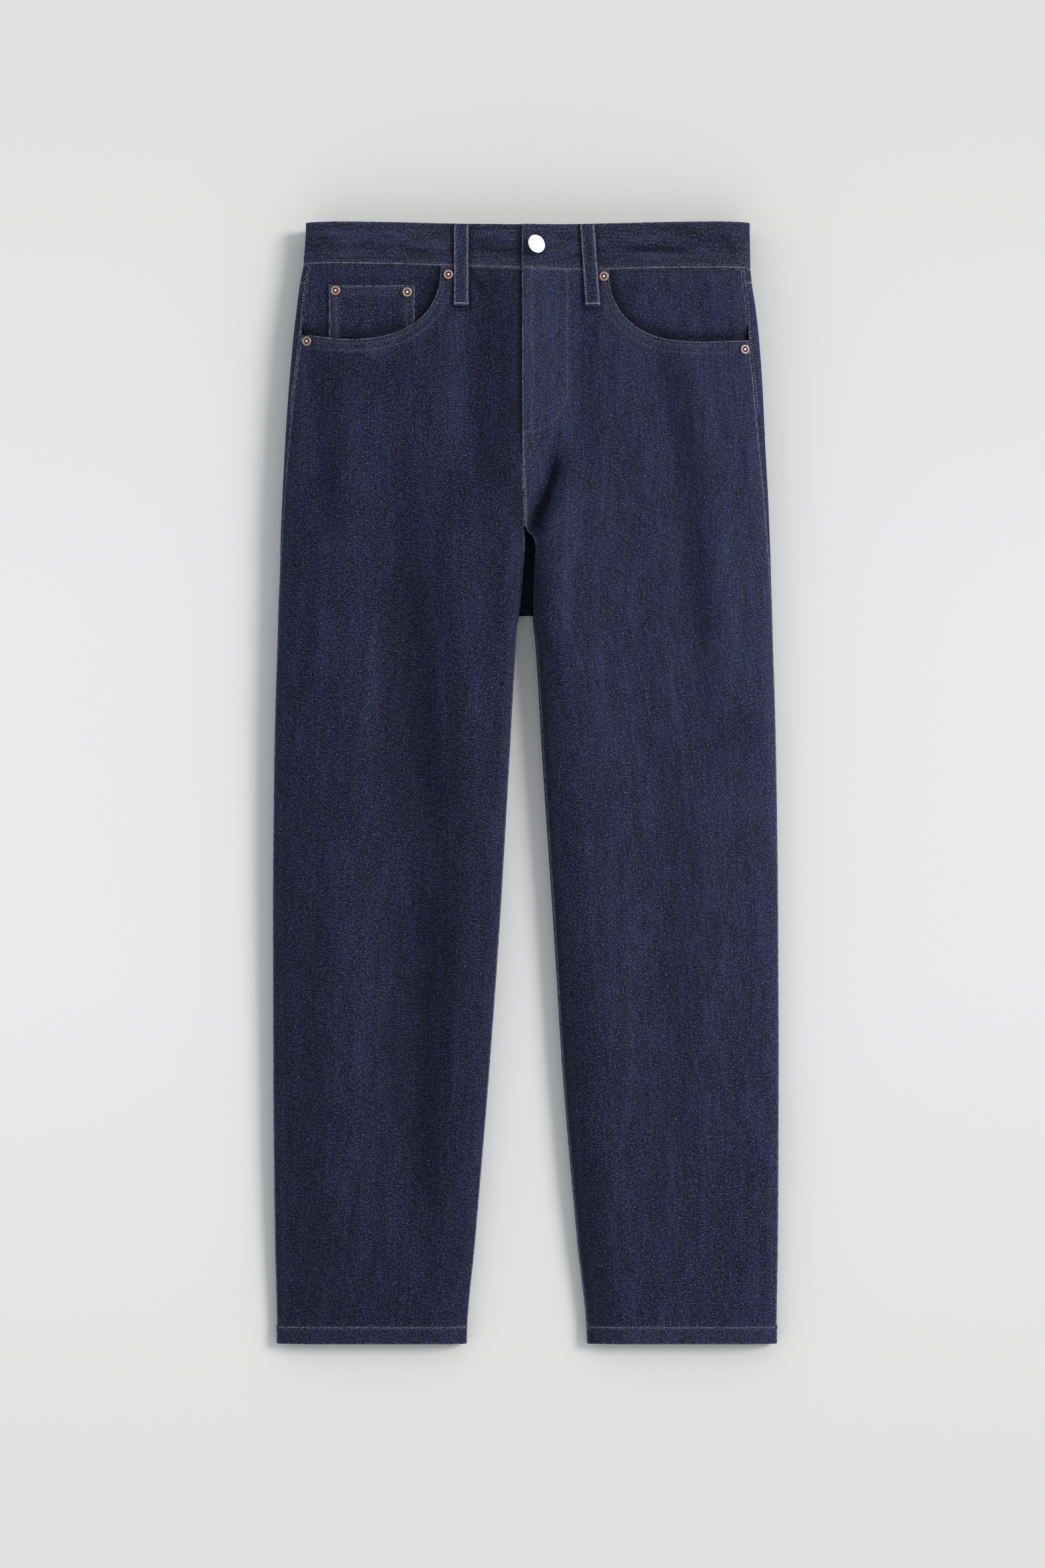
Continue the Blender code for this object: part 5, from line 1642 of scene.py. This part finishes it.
def denim(name, groups, deep, cool, warm, streak_tone=STREAK_TONE):
    """Indigo twill: deep is the darkest shade of its warp, and its dye drifts between cool and warm."""
    twill, yarn, seam = groups
    material, tree, shader = material_tree(name)
    cut = add(tree, "UVMap", uv_map="cut").outputs[0]
    # The mark fades the cloth above 0 and darkens it below 0, much of that as painted shade
    worn = mark(tree, "worn")
    weave = place_group(tree, twill, Place=cut)
    look = place_group(tree, yarn, Place=cut)
    sewn = place_group(tree, seam, Edge=mark(tree, "edge"), Place=cut)
    along_y = add(tree, "SeparateXYZ", add(tree, "TexCoord").outputs["Object"]).outputs[1]
    greyer = times(tree, step(tree, along_y, 0.25, -0.25), 0.5)
    dyed = blend(tree, plus(tree, look["Tint"], greyer), cool, warm)
    darker = times(tree, calc(tree, "MAXIMUM", times(tree, worn, -1.0), 0.0), SHADE_TONE)
    tone = plus(tree, times(tree, look["Streak"], streak_tone), times(tree, look["Cloud"], CLOUD_TONE),
                times(tree, look["Speckle"], SPECKLE_TONE))
    tone = minus(tree, tone, plus(tree, darker, TONE_START + streak_tone / 2))
    warp = blend(tree, times(tree, tone, TONE_GAIN), deep, dyed)
    woven = times(tree, weave["Weft"], plus(tree, 0.35, look["Speckle"]))
    fleck = times(tree, look["Fleck"], minus(tree, FLECK_SHARE, darker))
    on_row = plus(tree, ROW_SHARE, times(tree, look["Speckle"], ROW_SPECKLE_SHARE))
    rubbed = plus(tree, times(tree, mark(tree, "sewn"), on_row), times(tree, sewn["Rub"], RUB_SHARE),
                  times(tree, sewn["Band"], DOUBLED_SHARE))
    shown = plus(tree, times(tree, woven, WEFT_SHARE), calc(tree, "MAXIMUM", fleck, 0.0),
                 times(tree, look["Cross"], CROSS_SHARE), rubbed)
    cloth = blend(tree, calc(tree, "MINIMUM", shown, 1.0), warp, PALE_WEFT)
    fading = times(tree, worn, plus(tree, FADE, times(tree, look["Streak"], FADE_STREAK)))
    cloth = blend(tree, fading, cloth, FADED)
    cloth = blend(tree, look["Nep"], cloth, LINT)
    reverse = blend(tree, weave["Weft"], REVERSE_WEFT, REVERSE_WARP)
    join(tree, blend(tree, mark(tree, "inside"), cloth, reverse), shader.inputs["Base Color"])
    join(tree, plus(tree, 0.78, times(tree, look["Streak"], 0.12)), shader.inputs["Roughness"])
    shader.inputs["Specular IOR Level"].default_value = 0.05
    height = plus(tree, weave["Height"], times(tree, look["Streak"], 0.5), times(tree, look["Speckle"], 1.2))
    join(tree, add(tree, "Bump", 0.6, 0.00022, 1.0, height).outputs[0], shader.inputs["Normal"])
    return material


def thread_material(spun):
    """Spun thread in the cloth's own shades, with paler stitches among them."""
    material, tree, shader = material_tree(spun.name)
    place = add(tree, "TexCoord").outputs["Object"]
    grain = add(tree, "TexNoise", place, None, 420.0, 2.0, 0.6).outputs[0]
    join(tree, blend(tree, step(tree, grain, 0.38, 0.64), spun.dark, spun.pale), shader.inputs["Base Color"])
    ply = add(tree, "TexWave", place, 1400.0, 2.0, 1.0, bands_direction="DIAGONAL").outputs["Fac"]
    join(tree, add(tree, "Bump", 0.4, 0.0001, 1.0, ply).outputs[0], shader.inputs["Normal"])
    shader.inputs["Roughness"].default_value = 0.6
    return material


def metal(plate):
    """Plated metal, with a tint of wear, fine scuffs and painted shade in its low recess."""
    material, tree, shader = material_tree(plate.name)
    place = add(tree, "TexCoord").outputs["Object"]
    patches = add(tree, "TexNoise", place, None, 900.0, 4.0, 0.6).outputs[0]
    scuffs = add(tree, "TexNoise", place, None, 3800.0, 3.0, 0.7).outputs[0]
    plated = blend(tree, step(tree, patches, 0.42, 0.7), plate.colour, plate.worn)
    join(tree, blend(tree, mark(tree, "recess"), plated, RECESS_PAINTED_SHADE), shader.inputs["Base Color"])
    join(tree, plus(tree, plate.roughness, times(tree, scuffs, 0.18)), shader.inputs["Roughness"])
    join(tree, add(tree, "Bump", 0.15, 0.00005, 1.0, scuffs).outputs[0], shader.inputs["Normal"])
    shader.inputs["Metallic"].default_value = 1.0
    return material


# ---- floor, light and camera

FRAME_HEIGHT = 1.48176     # what the picture's height takes in, in metres
FRAME_CENTRE = (-0.00315, -0.0003)
LENS = 100.0
SENSOR = 36.0
MIDDLE_HEIGHT = 0.014
KEY_HEIGHT = math.radians(30)
KEY_BEARING = math.radians(22)
KEY_SPREAD = math.radians(20)
KEY_STRENGTH = 2.05
KEY_COLOUR = (1.0, 0.985, 0.965)
KEY_AWAY = 3.0
ROOM_STRENGTH = 1.82
ROOM_TOP = 0.09            # how bright the room is overhead, as a share of its walls
ROOM_COLOUR = (0.93, 0.96, 1.0, 1)
CARD_SIZE = 2.4            # the card overhead shows only in the metal
CARD_STRENGTH = 18.0
CARD_PLACE = (0.35, 0.2, 1.2)
FLOOR_SIZE = 16.0
FLOOR_MIDDLE = (0.905, 0.905, 0.895, 1)
# the floor's colour at its ends, darkened as painted shade
FLOOR_ENDS_PAINTED_SHADE = (0.830, 0.835, 0.800, 1)


def floor_material():
    """Pale paper, evenly bright in the middle, and darkened a little towards both ends as painted shade."""
    material, tree, shader = material_tree("pale_floor")
    place = add(tree, "TexCoord").outputs["Object"]
    along_y = calc(tree, "ABSOLUTE", add(tree, "SeparateXYZ", place).outputs[1])
    tone = add(tree, "TexNoise", place, None, 1.5, 2.0, 0.5).outputs[0]
    ends = plus(tree, step(tree, along_y, 0.15, 0.75), times(tree, tone, 0.1))
    join(tree, blend(tree, ends, FLOOR_MIDDLE, FLOOR_ENDS_PAINTED_SHADE), shader.inputs["Base Color"])
    shader.inputs["Roughness"].default_value = 0.9
    shader.inputs["Specular IOR Level"].default_value = 0.1
    return material


def make_floor():
    bm = bmesh.new()
    bmesh.ops.create_grid(bm, x_segments=1, y_segments=1, size=FLOOR_SIZE / 2)
    mesh = mesh_of(bm, "floor")
    mesh.materials.append(floor_material())
    into_scene("floor", mesh)


def make_lights():
    """A broad soft key light from the upper right, and a pale room with bright walls."""
    key = bpy.data.lights.new("key", "SUN")
    key.angle = KEY_SPREAD
    key.energy = KEY_STRENGTH
    key.color = KEY_COLOUR
    flat = math.cos(KEY_HEIGHT)
    towards = Vector((flat * math.cos(KEY_BEARING), flat * math.sin(KEY_BEARING), math.sin(KEY_HEIGHT)))
    lamp = into_scene("key", key)
    lamp.location = KEY_AWAY * towards
    lamp.rotation_euler = towards.to_track_quat("Z", "Y").to_euler()
    card = bpy.data.lights.new("card", "AREA")
    card.shape = "DISK"
    card.size = CARD_SIZE
    card.energy = CARD_STRENGTH
    overhead = into_scene("card", card)
    overhead.location = CARD_PLACE
    overhead.visible_diffuse = False
    overhead.visible_camera = False
    world = bpy.data.worlds.new("studio")
    world.use_nodes = True
    tree = world.node_tree
    backdrop = tree.nodes["Background"]
    backdrop.inputs["Color"].default_value = ROOM_COLOUR
    upward = add(tree, "SeparateXYZ", add(tree, "TexCoord").outputs["Generated"]).outputs[2]
    walls = add(tree, "MapRange", upward, 0.15, 0.85, ROOM_STRENGTH, ROOM_STRENGTH * ROOM_TOP,
                interpolation_type="SMOOTHSTEP")
    join(tree, walls.outputs[0], backdrop.inputs["Strength"])
    bpy.context.scene.world = world
    bpy.context.scene.view_settings.view_transform = "Standard"


def make_camera():
    camera = bpy.data.cameras.new("camera")
    camera.lens = LENS
    camera.sensor_width = SENSOR
    eye = into_scene("camera", camera)
    eye.location = (*FRAME_CENTRE, MIDDLE_HEIGHT + FRAME_HEIGHT * LENS / SENSOR)
    bpy.context.scene.camera = eye


# ---- everything

def main():
    make_camera()
    make_floor()
    make_lights()
    groups = (twill_group(), yarn_group(), seam_group())
    cloth = denim("indigo_denim", groups, DEEP, COOL, WARM)
    grey = denim("indigo_denim_greyed", groups, DEEP, GREY_COOL, WARM)
    band = denim("indigo_denim_band", groups, BAND_DEEP, BAND_COOL, BAND_WARM, BAND_STREAK_TONE)
    for side in SIDES:
        lay_back(side, cloth)
        lay_yoke(side, cloth)
        lay_facing(side, grey)
    lay_coin_pocket(grey)
    for side in SIDES:
        lay_front(side, cloth)
        lay_back_pocket(side, cloth)
    lay_waistband(band)
    trees = [tree_of(made[name]) for name in UNDER_LOOPS]
    for loop in FRONT_LOOPS + BACK_LOOPS:
        lay_loop(loop, trees, cloth, on_floor=loop in BACK_LOOPS)
    thread = thread_material(RUBBED_THREAD)
    tonal = thread_material(TONAL_THREAD)
    sew_fronts(thread, tonal)
    sew_coin_pocket(tonal)
    for loop in FRONT_LOOPS + BACK_LOOPS:
        sew_loop(loop, thread, below=loop in BACK_LOOPS)
    sew_back(thread)
    set_metal(metal(CAP_PLATE), metal(BURR_PLATE), metal(BUTTON_PLATE))


main()
